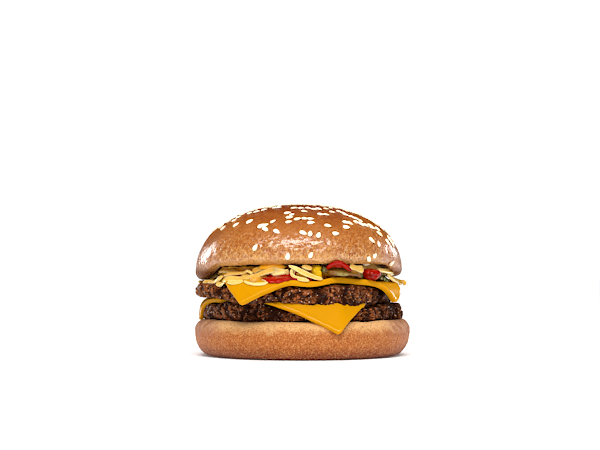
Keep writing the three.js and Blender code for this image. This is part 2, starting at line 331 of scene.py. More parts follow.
def lathe(centre, profile, columns):
    """Rings round an upright axis. profile(azimuths) gives (radius, height) pairs, underside first."""
    azimuths = np.linspace(0, 2 * math.pi, columns, endpoint=False)
    rings = []
    for r, z in profile(azimuths):
        x = centre[0] + r * np.sin(azimuths)
        y = centre[1] - r * np.cos(azimuths)
        rings.append(np.stack(np.broadcast_arrays(x, y, z), 1))
    return np.array(rings)


def strip(path, width, thick, taper, up=(0, 0, 1), cup=0.0, twist=0.0, sides=12, squareness=0.75):
    """Rings of an oval band along a path. taper is its share of the full size at each point of the path."""
    path = np.asarray(path, float)
    along = np.gradient(path, axis=0)
    along /= np.linalg.norm(along, axis=1)[:, None]
    phi = np.linspace(0, 2 * math.pi, sides, endpoint=False)
    a = np.sign(np.cos(phi)) * np.abs(np.cos(phi)) ** squareness
    b = np.sign(np.sin(phi)) * np.abs(np.sin(phi)) ** squareness
    aside = np.cross(along[0], up)
    rings = []
    for i, (point, ahead, share) in enumerate(zip(path, along, taper)):
        aside = aside - ahead * aside.dot(ahead)
        aside /= np.linalg.norm(aside)
        over = np.cross(ahead, aside)
        turn = twist * i / len(path)
        across = aside * math.cos(turn) + over * math.sin(turn)
        high = np.cross(ahead, across)
        rise = b * thick / 2 - cup * (1 - a**2)
        rings.append(point + share * (np.outer(a * width / 2, across) + np.outer(rise, high)))
    return np.array(rings)


def blunt(count, sharpness=5):
    """The taper of a strip with blunt ends."""
    t = np.linspace(-1, 1, count)
    return np.maximum(1 - np.abs(t) ** sharpness, 0) ** 0.5


class Skins:
    """Skins gathered into one piece, in mm. A mark is a number at each point that a finish can read."""

    def __init__(self):
        self.points, self.faces, self.marks, self.count = [], [], {}, 0

    def add(self, rings, **marks):
        """Adds a skin with its marks: one number for all of it, or one for each point of its rings."""
        rows, columns = rings.shape[:2]
        index = self.count + 1 + np.arange((rows - 2) * columns).reshape(rows - 2, columns)
        after = np.roll(index, -1, axis=1)
        self.faces += np.stack([index[:-1], after[:-1], after[1:], index[1:]], -1).reshape(-1, 4).tolist()
        first = np.full(columns, self.count)
        last = np.full(columns, self.count + 1 + (rows - 2) * columns)
        self.faces += np.stack([first, after[0], index[0]], -1).tolist()
        self.faces += np.stack([index[-1], after[-1], last], -1).tolist()
        self.points.append(self.gathered(rings))
        for name, values in marks.items():
            values = np.broadcast_to(np.asarray(values, float), (rows, columns))
            self.marks.setdefault(name, []).append(self.gathered(values[..., None])[:, 0])
        self.count += (rows - 2) * columns + 2

    @staticmethod
    def gathered(rings):
        """The points or marks of the rings in one list, with each end ring drawn together into one."""
        width = rings.shape[2]
        return np.vstack([rings[0].mean(0), rings[1:-1].reshape(-1, width), rings[-1].mean(0)])

    def mesh(self, name, relief=None):
        """The mesh, each point moved along its normal by relief(points, normals, marks)."""
        points = np.vstack(self.points)
        marks = {name: np.concatenate(values) for name, values in self.marks.items()}
        mesh = bpy.data.meshes.new(name)
        mesh.from_pydata((points * MM).tolist(), [], self.faces)
        if relief:
            normals = np.empty(3 * len(points))
            mesh.vertices.foreach_get("normal", normals)
            points = relief(points, normals.reshape(-1, 3), marks)
            mesh.vertices.foreach_set("co", (points * MM).ravel())
        for mark, values in marks.items():
            mesh.attributes.new(mark, "FLOAT", "POINT").data.foreach_set("value", values)
        return mesh


def place(name, mesh, finish, slot=None, nodes=()):
    """Puts a piece into the scene, on the burger's body, in place of its solids."""
    mesh.shade_smooth()
    mesh.materials.clear()
    mesh.materials.append(finish)
    piece = bpy.data.objects.new(name, mesh)
    bpy.context.scene.collection.objects.link(piece)
    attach(piece, "root")
    if nodes:
        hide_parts(*nodes)


def poured(name, skins, fineness=0.24, smoothing=14):
    """One mesh round all of the skins, with their joins smoothed as in a thick sauce."""
    piece = bpy.data.objects.new(name, skins.mesh(name))
    bpy.context.scene.collection.objects.link(piece)
    remesh = piece.modifiers.new("join", "REMESH")
    remesh.mode = "VOXEL"
    remesh.voxel_size = fineness * MM
    relax = piece.modifiers.new("relax", "SMOOTH")
    relax.iterations = smoothing
    mesh = bpy.data.meshes.new_from_object(piece.evaluated_get(bpy.context.evaluated_depsgraph_get()))
    bpy.data.objects.remove(piece)
    return mesh


def tree_of(*names):
    """A search tree of the pieces' or the solids' meshes, in mm."""
    points, faces = [], []
    for name in names:
        mesh = bpy.data.objects[name].data
        start = len(points)
        points += [v.co / MM for v in mesh.vertices]
        faces += [[start + i for i in p.vertices] for p in mesh.polygons]
    return BVHTree.FromPolygons(points, faces)


def seen(across, up, reach):
    """The point that shows at (across, up) from the front, on a drum of radius reach round the heap."""
    ahead = Vector((across, 0, up)) - EYE
    x, y = EYE.x - HEAP["centre"][0], EYE.y - HEAP["centre"][1]
    a = ahead.x**2 + ahead.y**2
    b = x * ahead.x + y * ahead.y
    c = x**2 + y**2 - reach**2
    return np.array(EYE + ahead * ((-b - math.sqrt(max(b * b - a * c, 0))) / a))


# ---- Finishes ----


class Term:
    """A value in a finish. Arithmetic on it adds Math nodes."""

    def __init__(self, recipe, socket):
        self.recipe, self.socket = recipe, socket

    def math(self, operation, *values):
        return self.recipe.add("ShaderNodeMath", {"operation": operation}, dict(enumerate(values)))

    def __add__(self, other):
        return self.math("ADD", self, other)

    def __sub__(self, other):
        return self.math("SUBTRACT", self, other)

    def __rsub__(self, other):
        return self.math("SUBTRACT", other, self)

    def __mul__(self, other):
        return self.math("MULTIPLY", self, other)

    __radd__ = __add__
    __rmul__ = __mul__


class Recipe:
    """The nodes of one finish round its shader."""

    def __init__(self, name, **constants):
        self.material = bpy.data.materials.new(name)
        self.material.use_nodes = True
        self.tree = self.material.node_tree
        self.shader = next(n for n in self.tree.nodes if n.type == "BSDF_PRINCIPLED")
        for socket, value in constants.items():
            self.shader.inputs[socket.replace("_", " ")].default_value = value

    def add(self, kind, settings=None, sockets=None):
        """A node of any kind: its settings first, then the values or links of its sockets."""
        node = self.tree.nodes.new(kind)
        settings = dict(settings or {})
        stops = settings.pop("stops", None)
        for name, value in settings.items():
            setattr(node, name, value)
        if stops:
            ends = node.color_ramp.elements
            ends[0].position, ends[1].position = stops[0][0], stops[-1][0]
            ends[0].color, ends[1].color = (*stops[0][1], 1), (*stops[-1][1], 1)
            for position, value in stops[1:-1]:
                ends.new(position).color = (*value, 1)
        for key, value in (sockets or {}).items():
            found = [s for s in node.inputs if key in (s.identifier, s.name) and s.enabled]
            socket = node.inputs[key] if isinstance(key, int) else found[0]
            if isinstance(value, Term):
                self.tree.links.new(value.socket, socket)
            else:
                socket.default_value = value
        return Term(self, next(s for s in node.outputs if s.enabled))

    def mark(self, name):
        """A mark on the piece's points."""
        attribute = self.add("ShaderNodeAttribute", {"attribute_name": name})
        return Term(self, attribute.socket.node.outputs["Fac"])

    def places(self, size, stretch=(1, 1, 1), seed=0):
        """Coordinates in which a length of size, in mm, is 1."""
        here = Term(self, self.add("ShaderNodeTexCoord").socket.node.outputs["Object"])
        scale = tuple(1 / (size * MM * s) for s in stretch)
        shift = (seed * 7.1, seed * 3.3, seed * 5.7)
        return self.add("ShaderNodeVectorMath", {"operation": "MULTIPLY_ADD"}, {0: here, 1: scale, 2: shift})

    def clouds(self, size, detail=2.0, stretch=(1, 1, 1), seed=0, warp=0.0):
        """Soft noise from 0 to 1, about 0.5 on average."""
        sockets = {
            "Vector": self.places(size, stretch, seed), "Scale": 1.0, "Detail": detail,
            "Roughness": 0.55, "Distortion": warp,
        }
        return self.add("ShaderNodeTexNoise", {"noise_dimensions": "3D"}, sockets)

    def cells(self, size, seed):
        """The distance from the middles of round cells."""
        sockets = {"Vector": self.places(size, seed=seed), "Scale": 1.0, "Randomness": 1.0}
        return self.add("ShaderNodeTexVoronoi", {"feature": "F1"}, sockets)

    def band(self, value, low, high):
        """0 up to low, 1 from high, and a soft step between."""
        settings = {"interpolation_type": "SMOOTHSTEP"}
        sockets = {"Value": value, "From Min": low, "From Max": high, "To Min": 0.0, "To Max": 1.0}
        return self.add("ShaderNodeMapRange", settings, sockets)

    def ramp(self, value, stops):
        """The colour at a value between stops."""
        return self.add("ShaderNodeValToRGB", {"stops": stops}, {0: value})

    def blend(self, share, first, second):
        """first where share is 0, and second where it is 1."""
        pair = [c if isinstance(c, Term) else (*c, 1) for c in (first, second)]
        sockets = {"Factor_Float": share, "A_Color": pair[0], "B_Color": pair[1]}
        return self.add("ShaderNodeMix", {"data_type": "RGBA"}, sockets)

    def bump(self, height, strength, depth, below=None):
        """A bump of the given depth in mm, over the one below."""
        sockets = {"Strength": strength, "Distance": depth * MM, "Height": height}
        if below is not None:
            sockets["Normal"] = below
        return self.add("ShaderNodeBump", None, sockets)

    def finish(self, **links):
        """Links what varies to the shader's sockets, and gives the material."""
        for name, term in links.items():
            self.tree.links.new(term.socket, self.shader.inputs[name.replace("_", " ")])
        return self.material


def crust_finish():
    """The egg-washed crust of the bun's top, and its toasted cut face."""
    look = chosen("bun")
    r = Recipe("egg_washed_crust", Specular_IOR_Level=0.04, Coat_Roughness=0.28, Coat_IOR=1.95)
    mottle = r.clouds(9, detail=3, seed=1) * 0.4 + r.clouds(2.0, detail=3, seed=2) * 0.3
    baked = r.mark("rise") + mottle - 0.35
    skin = r.ramp(baked, [(0.02, look.rim), (0.3, look.side), (0.62, look.side), (0.95, look.top)])
    fine = r.clouds(0.62, detail=3, stretch=(1, 1, 1.7), seed=6, warp=1.2)
    low = 1 - r.band(r.mark("rise"), 0.15, 0.7)
    # Pale strokes and fold tips, strongest in the lower half: partly the crust's own colour, partly painted
    # sheen.
    skin = r.blend(r.band(fine, 0.5, 0.62) * (low * 0.65 + 0.12), skin, look.rim)
    skin = r.blend((1 - r.band(fine, 0.36, 0.5)) * 0.6, skin, look.top)
    skin = r.blend(r.band(r.mark("fold"), 0.5, 1.0) * (low * 0.4 + 0.04), skin, look.fold)
    # Painted shade: the underside of the drooping ends, below the curl, turns toast-coloured and loses its
    # glaze.
    skin = r.blend(r.mark("dark") * 0.8, skin, look.toast)
    pores = 1 - r.band(r.cells(1.5, seed=3), 0.1, 0.45)
    toasted = r.band(r.clouds(6, detail=4, seed=4), 0.38, 0.62)
    inside = r.blend(toasted, look.crumb, look.toast)
    inside = r.blend(pores * 0.6, inside, look.pore)
    wrinkles = r.bump(fine, 1.0, 0.34)
    roughness = 0.26 + r.clouds(4, detail=2, seed=7) * 0.2 + r.mark("cut") * 0.3
    glazed = 0.2 + r.band(r.mark("rise"), 0.05, 0.28) * 0.7 - r.band(r.mark("rise"), 0.55, 0.85) * 0.65
    return r.finish(
        Base_Color=r.blend(r.mark("cut"), skin, inside), Roughness=roughness, Normal=wrinkles,
        Coat_Weight=(1 - r.mark("cut")) * (1 - r.mark("dark")) * glazed,
    )


def heel_finish():
    """The matt, finely pebbled crust of the bun's bottom half."""
    look = chosen("bun")
    r = Recipe("heel_crust", Specular_IOR_Level=0.1, Sheen_Weight=0.1, Sheen_Roughness=0.4)
    mottle = r.clouds(11, detail=3, seed=11) * 0.3 + r.clouds(2.4, detail=2, seed=12) * 0.2
    baked = r.mark("rise") + mottle - 0.25
    tones = [(0.04, look.heel_foot), (0.42, look.heel_side), (0.66, look.heel_side), (0.86, look.heel_band)]
    skin = r.ramp(baked, tones)
    grain = r.clouds(0.62, detail=2, seed=13, warp=0.8)
    skin = r.blend(r.band(grain, 0.5, 0.64) * 0.45, skin, look.heel_band)
    skin = r.blend((1 - r.band(grain, 0.36, 0.5)) * 0.5, skin, look.heel_foot)
    # Painted shade: the creases and the ends of the upper edge, under the patty, turn darker.
    skin = r.blend(r.mark("dark") * 0.75, skin, look.heel_crease)
    pores = 1 - r.band(r.cells(1.5, seed=14), 0.1, 0.45)
    inside = r.blend(r.band(r.clouds(6, detail=4, seed=15), 0.4, 0.6), look.crumb, look.toast)
    inside = r.blend(pores * 0.5, inside, look.heel_pore)
    pebbled = r.bump(grain, 1.0, 0.4)
    roughness = 0.42 + r.clouds(3, seed=16) * 0.2
    return r.finish(Base_Color=r.blend(r.mark("cut"), skin, inside), Roughness=roughness, Normal=pebbled)


def seed_finish():
    """Hulled sesame, toasted at the tips."""
    look = chosen("seed")
    r = Recipe(
        "sesame", Coat_Weight=0.15, Coat_Roughness=0.3, Subsurface_Weight=0.12, Subsurface_Scale=0.0012,
    )
    toasted = r.band(r.mark("tip") + r.clouds(1.2, seed=21) * 0.5, 0.75, 1.25)
    hull = r.blend(r.mark("toast"), look.hull, look.tip)
    ribs = r.clouds(0.35, detail=2, seed=22)
    return r.finish(
        Base_Color=r.blend(toasted * 0.7, hull, look.tip),
        Roughness=0.4 + ribs * 0.2,
        Normal=r.bump(ribs, 0.3, 0.05),
    )


def meat_finish():
    """Grilled mince with a greasy sheen, charred at random and crisp on its raised crumbs, with painted shade
    that makes it black in its cracks, its hollows and its foot, and pale spots that are partly rendered fat
    and partly painted glints.
    """
    look = chosen("meat")
    r = Recipe("grilled_mince", Specular_IOR_Level=0.03, Coat_Roughness=0.06)
    bits = r.clouds(0.8, detail=3, stretch=(1.4, 1.4, 0.9), seed=31, warp=0.8)
    patches = r.clouds(6.5, detail=2, seed=32)
    # Painted shade: the deeper a point lies among the crumbs, the nearer its colour comes to charred black;
    # raised crumbs keep the crisp colour.
    depth = r.mark("hollow") * 0.65 + bits * 1.3 - 0.5
    brown = r.blend(r.band(patches, 0.4, 0.62), look.brown, look.red)
    crisp = r.blend(r.band(depth, 0.1, 0.38), look.crisp, brown)
    charred = r.blend(r.band(depth, 0.42, 0.82), crisp, look.char)
    shade = r.clouds(5.0, detail=3, seed=39)
    charred = r.blend((1 - r.band(shade, 0.36, 0.58)) * 0.65, charred, look.shade)
    # Random charring, with painted shade at the foot and in the cracks.
    burnt = r.band(r.mark("burn") + bits * 0.4 - patches * 0.3, 0.62, 1.0)
    charred = r.blend(burnt * 0.85, charred, look.char)
    # Pale spots, partly rendered fat and partly painted glints.
    spots = (1 - r.band(r.cells(1.25, seed=37), 0.14, 0.3)) * r.band(r.clouds(3.2, seed=38), 0.47, 0.6)
    fatty = r.blend(spots * (1 - r.mark("burn") * 0.6), charred, look.fat)
    greasy = r.band(r.clouds(1.1, detail=2, seed=35), 0.54, 0.62)
    fibres = r.clouds(0.55, detail=3, seed=36)
    return r.finish(
        Base_Color=fatty,
        Roughness=0.6 - greasy * 0.3,
        Coat_Weight=greasy * (0.7 - burnt * 0.5),
        Normal=r.bump(fibres, 1.0, 0.35),
    )


def cheese_finish():
    """Soft processed cheese, shiny along its rounded edges, with painted light that makes its cut edge paler.
    """
    look = chosen("cheese")
    r = Recipe(
        "processed_cheese", Coat_Roughness=0.09, Specular_IOR_Level=0.03,
        Subsurface_Weight=0.15, Subsurface_Scale=0.003, Subsurface_Radius=(1.0, 0.4, 0.05),
    )
    tone = r.blend(r.clouds(8, detail=2, seed=41) * 0.25, look.body, look.edge)
    pitted = r.clouds(0.7, detail=2, seed=42)
    wet = r.band(r.clouds(7, detail=1, seed=44), 0.4, 0.6)
    return r.finish(
        # Painted light on the cut edge, which mostly faces down.
        Base_Color=r.blend(r.mark("edge") * 0.8, tone, look.edge),
        Roughness=0.34 + r.clouds(5, detail=2, seed=43) * 0.14,
        Coat_Weight=r.mark("bead") * (wet * 0.6 + 0.4) + 0.03,
        Normal=r.bump(pitted, 0.12, 0.05),
    )


def onion_finish():
    """Moist raw onion, golden where it is thick and pale along the edges of each strip."""
    look = chosen("onion")
    r = Recipe(
        "raw_onion", Subsurface_Weight=0.45, Subsurface_Scale=0.003, Subsurface_Radius=(1.0, 0.8, 0.4),
        Coat_Weight=0.15, Coat_Roughness=0.1, Specular_IOR_Level=0.3,
    )
    lines = r.clouds(0.8, detail=2, seed=51)
    paler = r.mark("rind") * 0.75 + r.mark("pale") * 0.45 + lines * 0.5
    tone = r.ramp(paler, [(0.2, look.rind), (0.55, look.flesh), (1.0, look.pale)])
    tone = r.blend(r.mark("deep"), tone, look.shade)
    return r.finish(
        Base_Color=r.blend(r.band(lines, 0.55, 0.75) * 0.35, tone, look.rind),
        Roughness=0.24 + lines * 0.2,
        Normal=r.bump(lines, 0.4, 0.14),
    )


def pickle_finish():
    """Wet pickled gherkin: olive flesh round a paler heart with seeds, in a dark ridged skin."""
    look = chosen("pickle")
    r = Recipe(
        "pickled_gherkin", Coat_Weight=0.5, Coat_Roughness=0.07, Specular_IOR_Level=0.2,
        Subsurface_Weight=0.3, Subsurface_Scale=0.002,
    )
    mottle = r.clouds(1.6, detail=3, seed=61)
    heart = 1 - r.band(r.mark("out") + mottle * 0.5, 0.75, 1.15)
    tone = r.blend(heart, look.flesh, look.heart)
    tone = r.blend(r.band(mottle, 0.52, 0.66) * 0.7, tone, look.vein)
    tone = r.blend(r.mark("seed") * 0.9, tone, look.seed)
    tone = r.blend(r.mark("pale") * 0.7, tone, look.heart)
    skin = r.blend(r.mark("ridge") * 0.8, look.skin, look.ridge)
    speckle = r.clouds(0.9, detail=2, seed=63)
    heart = r.blend(r.band(speckle, 0.42, 0.58), look.heart, look.seed)
    bare = r.blend(r.band(r.mark("pale") + mottle * 0.7, 0.7, 1.2), look.flesh, heart)
    bare = r.blend(r.band(mottle + speckle * 0.3, 0.64, 0.76) * 0.6, bare, look.spot)
    skin = r.blend(r.mark("peeled"), skin, bare)
    return r.finish(
        Base_Color=r.blend(r.mark("skin"), tone, skin),
        Roughness=0.2 + mottle * 0.2,
        Normal=r.bump(r.clouds(0.7, detail=2, seed=62), 0.5, 0.16),
    )


def sauce_finish(name, tone, dark, seed):
    """A thick glossy sauce with fine grains in it."""
    r = Recipe(
        name, Subsurface_Weight=0.2, Subsurface_Scale=0.002, Subsurface_Radius=(1.0, 0.3, 0.1),
        Coat_Weight=0.4, Coat_Roughness=0.03, Specular_IOR_Level=0.05,
    )
    pulp = r.clouds(0.9, detail=3, seed=seed)
    streaks = r.clouds(3.5, detail=2, seed=seed + 1)
    return r.finish(
        Base_Color=r.blend(r.band(streaks, 0.35, 0.7) * 0.7, tone, dark),
        Roughness=0.16 + pulp * 0.14,
        Normal=r.bump(pulp, 0.25, 0.1),
    )


def floor_finish():
    """Plain white studio card."""
    r = Recipe("studio_card", Specular_IOR_Level=0.2, Emission_Color=(1, 1, 1, 1), Emission_Strength=0.08)
    mottle = r.clouds(60, detail=1, seed=91)
    tone = r.blend(mottle * 0.1, chosen("stage").floor, (0.93, 0.93, 0.93))
    return r.finish(Base_Color=tone, Roughness=0.8 + mottle * 0.1)


# ---- Bun ----

# The azimuths of the creases in the bottom half's upper edge.
BUN_BOTTOM_CREASES = (
    -163, -139, -117, -93, -86, -80, -74, -69, -61, 57, 63, 67, 74, 79, 86, 92, 118, 140, 171,
)


def bun_bottom_profile(azimuths):
    """The rings of the bottom half: its foot, its side, its upper edge and its cut face."""
    b = BUN_BOTTOM
    sway = b["unevenness"] * around(azimuths, 2, 0.4)
    for t in np.linspace(0, 1, 14):
        yield b["foot"] * t, 0.0
    for t in np.linspace(1, 0, 58)[1:]:
        out, down = quarter(t, 1.0, b["widest"], 2)
        yield b["foot"] + out * (b["radius"] + sway - b["foot"]), b["widest"] - down
    for t in np.linspace(0, 1, 44)[1:]:
        out, up = quarter(t, b["radius"] - b["cut"], b["height"] - b["widest"], 2.2)
        yield b["cut"] + sway + out, b["widest"] + up
    for t in np.linspace(1, 0, 16)[1:]:
        yield (b["cut"] + sway) * t, b["height"]


def bun_bottom_relief(points, normals, marks):
    """Dents, pebbles, and the creases where the weight of the burger presses the upper edge, with a mark of
    painted shade in the creases and at both ends of that edge.
    """
    look = chosen("bun")
    x, y, z = points.T
    azimuth = np.degrees(np.arctan2(x, -y))
    free = smooth(z, 0.2, 3.0)
    crust = 1 - marks["cut"]
    high = look.dent / MM * (rumple(points, 16, 1) + 0.5 * rumple(points, 5, 2))
    high += look.wrinkle / MM * 0.8 * rumple(points, 1.3, 3) * crust
    high += marks["cut"] * 0.25 * (smooth(pebbles(points, 2.6, 4), 0, 0.3) - 1)
    press = smooth(z, 6.5, 14.5)
    crease = np.zeros(len(points))
    for at in BUN_BOTTOM_CREASES:
        beside = apart(azimuth, at) + 2.5 * np.sin(z * 0.5 + at)
        fold = press * crust * np.exp(-((beside / 1.3) ** 2)) * (0.5 + 0.5 * np.sin(3 * at + z))
        high -= 0.5 * fold
        crease = np.maximum(crease, fold)
    moved = points + normals * (high * free)[:, None]
    moved[:, 2] = np.maximum(moved[:, 2], 0)
    marks["rise"] = np.clip(z / BUN_BOTTOM["height"], 0, 1)
    # Painted shade, darker in the creases and on the upper edge at both ends, where the patty shades it.
    ends = 1.1 * smooth(np.abs(x), 32, 43) * press * crust * (0.8 + 0.4 * rumple(points, 2.2, 18))
    marks["dark"] = np.clip(0.5 * crease + ends, 0, 1)
    return moved


def cut_face(x, y):
    """The height of the cut face under the bun's top."""
    b = BUN_TOP
    across, back = x - b["centre"][0], y - b["centre"][1]
    left, right = b["droop_from"]
    end = smooth(-across, left, b["cut"] - 1) + smooth(across, right, b["cut"] + 1)
    return b["face"] + (b["lean"] * across - b["lift"] * back) / b["cut"] - b["droop"] * end


def bun_top_profile(azimuths):
    """The rings of the top half: its cut face, the curl at its edge and its dome."""
    b = BUN_TOP
    sway = b["unevenness"] * around(azimuths, 2, 2.1)

    def face(r):
        return cut_face(b["centre"][0] + r * np.sin(azimuths), b["centre"][1] - r * np.cos(azimuths))

    rim = face(b["cut"])
    for t in np.linspace(0, 1, 26) ** 0.7:
        yield b["cut"] * t, face(b["cut"] * t)
    for t in np.linspace(1, 0, 20)[1:]:
        out, down = quarter(t, 1.0, b["curl"], 2)
        yield b["cut"] + out * (b["radius"] + sway - b["cut"]), rim + b["curl"] - down
    for t in np.linspace(0, 1, 118)[1:]:
        out, up = quarter(t, 1.0, 1.0, b["roundness"])
        yield out * (b["radius"] + sway), rim + b["curl"] + up * (b["top"] - rim - b["curl"])


def bun_top_relief(points, normals, marks):
    """Wide dents, and wrinkles that run down the side and fade towards the top."""
    look = chosen("bun")
    z = points[:, 2]
    crust = 1 - marks["cut"]
    high = look.dent / MM * crust * (rumple(points, 19, 5) * 0.9 + 0.3 * rumple(points, 6, 6))
    wrinkled = crust * (0.35 + 0.65 * (1 - smooth(z, 52, 62)))
    across = np.abs(points[:, 0] - BUN_TOP["centre"][0])
    wrinkled = wrinkled * (1 - 0.45 * smooth(across, 31, 38) * smooth(z, 44, 48))
    swirl = points + 0.8 * np.stack([rumple(points, 4, 30 + i, 1) for i in range(3)], 1)
    folds = 1 - 2.6 * np.abs(rumple(swirl, 1.15, 7, octaves=2, stretch=(1, 1, 2.0)))
    high += look.wrinkle / MM * wrinkled * (folds + 0.5 * rumple(points, 0.8, 10, 1, (1, 1, 1.6)))
    high += 1.2 * look.wrinkle / MM * wrinkled * rumple(swirl, 2.4, 12, 2, (1, 1, 1.6))
    # Where the pale fold colour goes, partly painted sheen.
    marks["fold"] = np.clip(folds, 0, 1) * crust
    high += marks["cut"] * (0.3 * (smooth(pebbles(points, 2.4, 8), 0, 0.3) - 1) + 0.15 * rumple(points, 4, 9))
    ends = smooth(across, 31, 42)
    marks["rise"] = np.clip((z - 38 + 9 * ends) / (BUN_TOP["top"] - 38), 0, 1)
    # Painted shade on the underside of the drooping ends, which the patty shades.
    marks["dark"] = crust * smooth(across, 34, 40) * (1 - smooth(z, 36.5, 40.5))
    return points + normals * high[:, None]


def cut_mark(rings, rows):
    """1 on the first rows of the rings, which make the cut face, and 0 on the crust."""
    flat = 1 - smooth(np.arange(len(rings)), rows - 1, rows + 2)
    return np.repeat(flat[:, None], rings.shape[1], axis=1)


class BURGER_OT_bun_bottom(Operator):
    """Bake the bun's bottom half"""

    bl_idname = "burger.bun_bottom"
    bl_label = "Bun bottom"

    def execute(self, context):
        rings = lathe((0, 0), bun_bottom_profile, COLUMNS["bun_bottom"])
        skins = Skins()
        skins.add(rings, cut=cut_mark(rings, 12)[::-1])
        mesh = skins.mesh("bun_bottom_crust", bun_bottom_relief)
        place("bun_bottom_crust", mesh, heel_finish(), "bun", ["bun_bottom"])
        return {"FINISHED"}


class BURGER_OT_bun_top(Operator):
    """Bake the bun's top half"""

    bl_idname = "burger.bun_top"
    bl_label = "Bun top"

    def execute(self, context):
        rings = lathe(BUN_TOP["centre"], bun_top_profile, COLUMNS["bun_top"])
        skins = Skins()
        skins.add(rings, cut=cut_mark(rings, 26))
        mesh = skins.mesh("bun_top_crust", bun_top_relief)
        place("bun_top_crust", mesh, crust_finish(), "crust", ["bun_top"])
        return {"FINISHED"}


# ---- Sesame ----

# Seeds on the front, as seen from there: across and up in mm, and the tilt of the long side in degrees.
FRONT_SEEDS = (
    (-35.4, 56.6, 48), (-30.5, 60, 35), (-29.6, 58, 38), (-28.6, 61.4, 30), (-23.5, 63.2, 20),
    (-20.3, 63.8, 15), (-17, 64.7, 8), (-12, 65.6, 25), (-10.6, 65.7, -15), (-23.5, 59.5, 25),
    (-18.5, 57.5, 60), (-16.6, 57.8, 30), (-16.5, 56, -50), (-13, 59.5, 60), (-11.5, 55, -45),
    (-21, 48, 60), (-6.5, 44, 85), (-6.5, 63.3, 45), (-5.7, 61.3, 5), (-4.5, 62.5, 50), (-6, 59.3, 15),
    (-3.5, 65.4, 10), (-2, 60.6, 5), (-0.4, 65.4, 0), (0.5, 54.4, -25), (1.2, 60.8, 2), (1, 64, -10),
    (3.6, 54.1, 80), (3.8, 60.7, 15), (4, 58.9, 0), (2.8, 65.4, -5), (5.2, 64.9, -12), (7.4, 65, -30),
    (7.4, 53.5, 65), (8.3, 62.7, -8), (10.8, 62.6, 0), (10.8, 65.2, -12), (13.5, 63.7, -22),
    (15.1, 54.1, 22), (16.6, 63.9, -15), (18.4, 63.2, -28), (19.6, 62.4, -25), (19.5, 59.1, -40),
    (21.4, 58.7, -28), (19.9, 56.9, 12), (22.2, 61.6, -32), (24.1, 60.8, -22), (26.1, 59.8, -30),
    (24.4, 59.2, -6), (26.5, 58.3, -38), (28.6, 57.8, -20), (30.6, 57.6, -45), (31.6, 56.6, -25),
    (33.8, 56.1, -32), (34.7, 53.9, -48), (31.2, 51.1, -25), (34.3, 49.6, 72), (38.7, 52.2, 80),
    (39.7, 50.9, 40), (38.2, 50.4, -60), (40.6, 49.2, -70), (32.6, 44.3, 22), (29.9, 42.7, -30),
    (28.9, 40.6, 10), (40.3, 41, 58), (3.9, 44.6, 62), (11.6, 57.6, -40),
)
# Clusters: azimuth, reach from the middle of the bun, spread, and how many seeds.
SEED_CLUSTERS = (
    (98, 33, 5.0, 9), (110, 26, 5.5, 8), (122, 34, 6.0, 8), (88, 24, 3.5, 5), (93, 40, 3.0, 5),
    (135, 22, 5.0, 6), (-95, 29, 4.5, 6), (-104, 36, 4.0, 4), (-112, 22, 5.0, 6), (-140, 30, 5.0, 5),
    (180, 6, 5.0, 6), (160, 15, 5.0, 6),
)


def sown(spots, tree, chance):
    """Where the line of each spot meets the crust, or a lower line if that one passes over it, and a tilt."""
    for origin, ahead, tilt in spots:
        for _ in range(12):
            at, normal, _, _ = tree.ray_cast(origin, ahead)
            if at is not None:
                break
            ahead = ahead - Vector((0, 0, 0.25))
        else:
            raise RuntimeError("a sesame seed misses the bun")
        yield at, normal, tilt + chance.uniform(-6, 6)


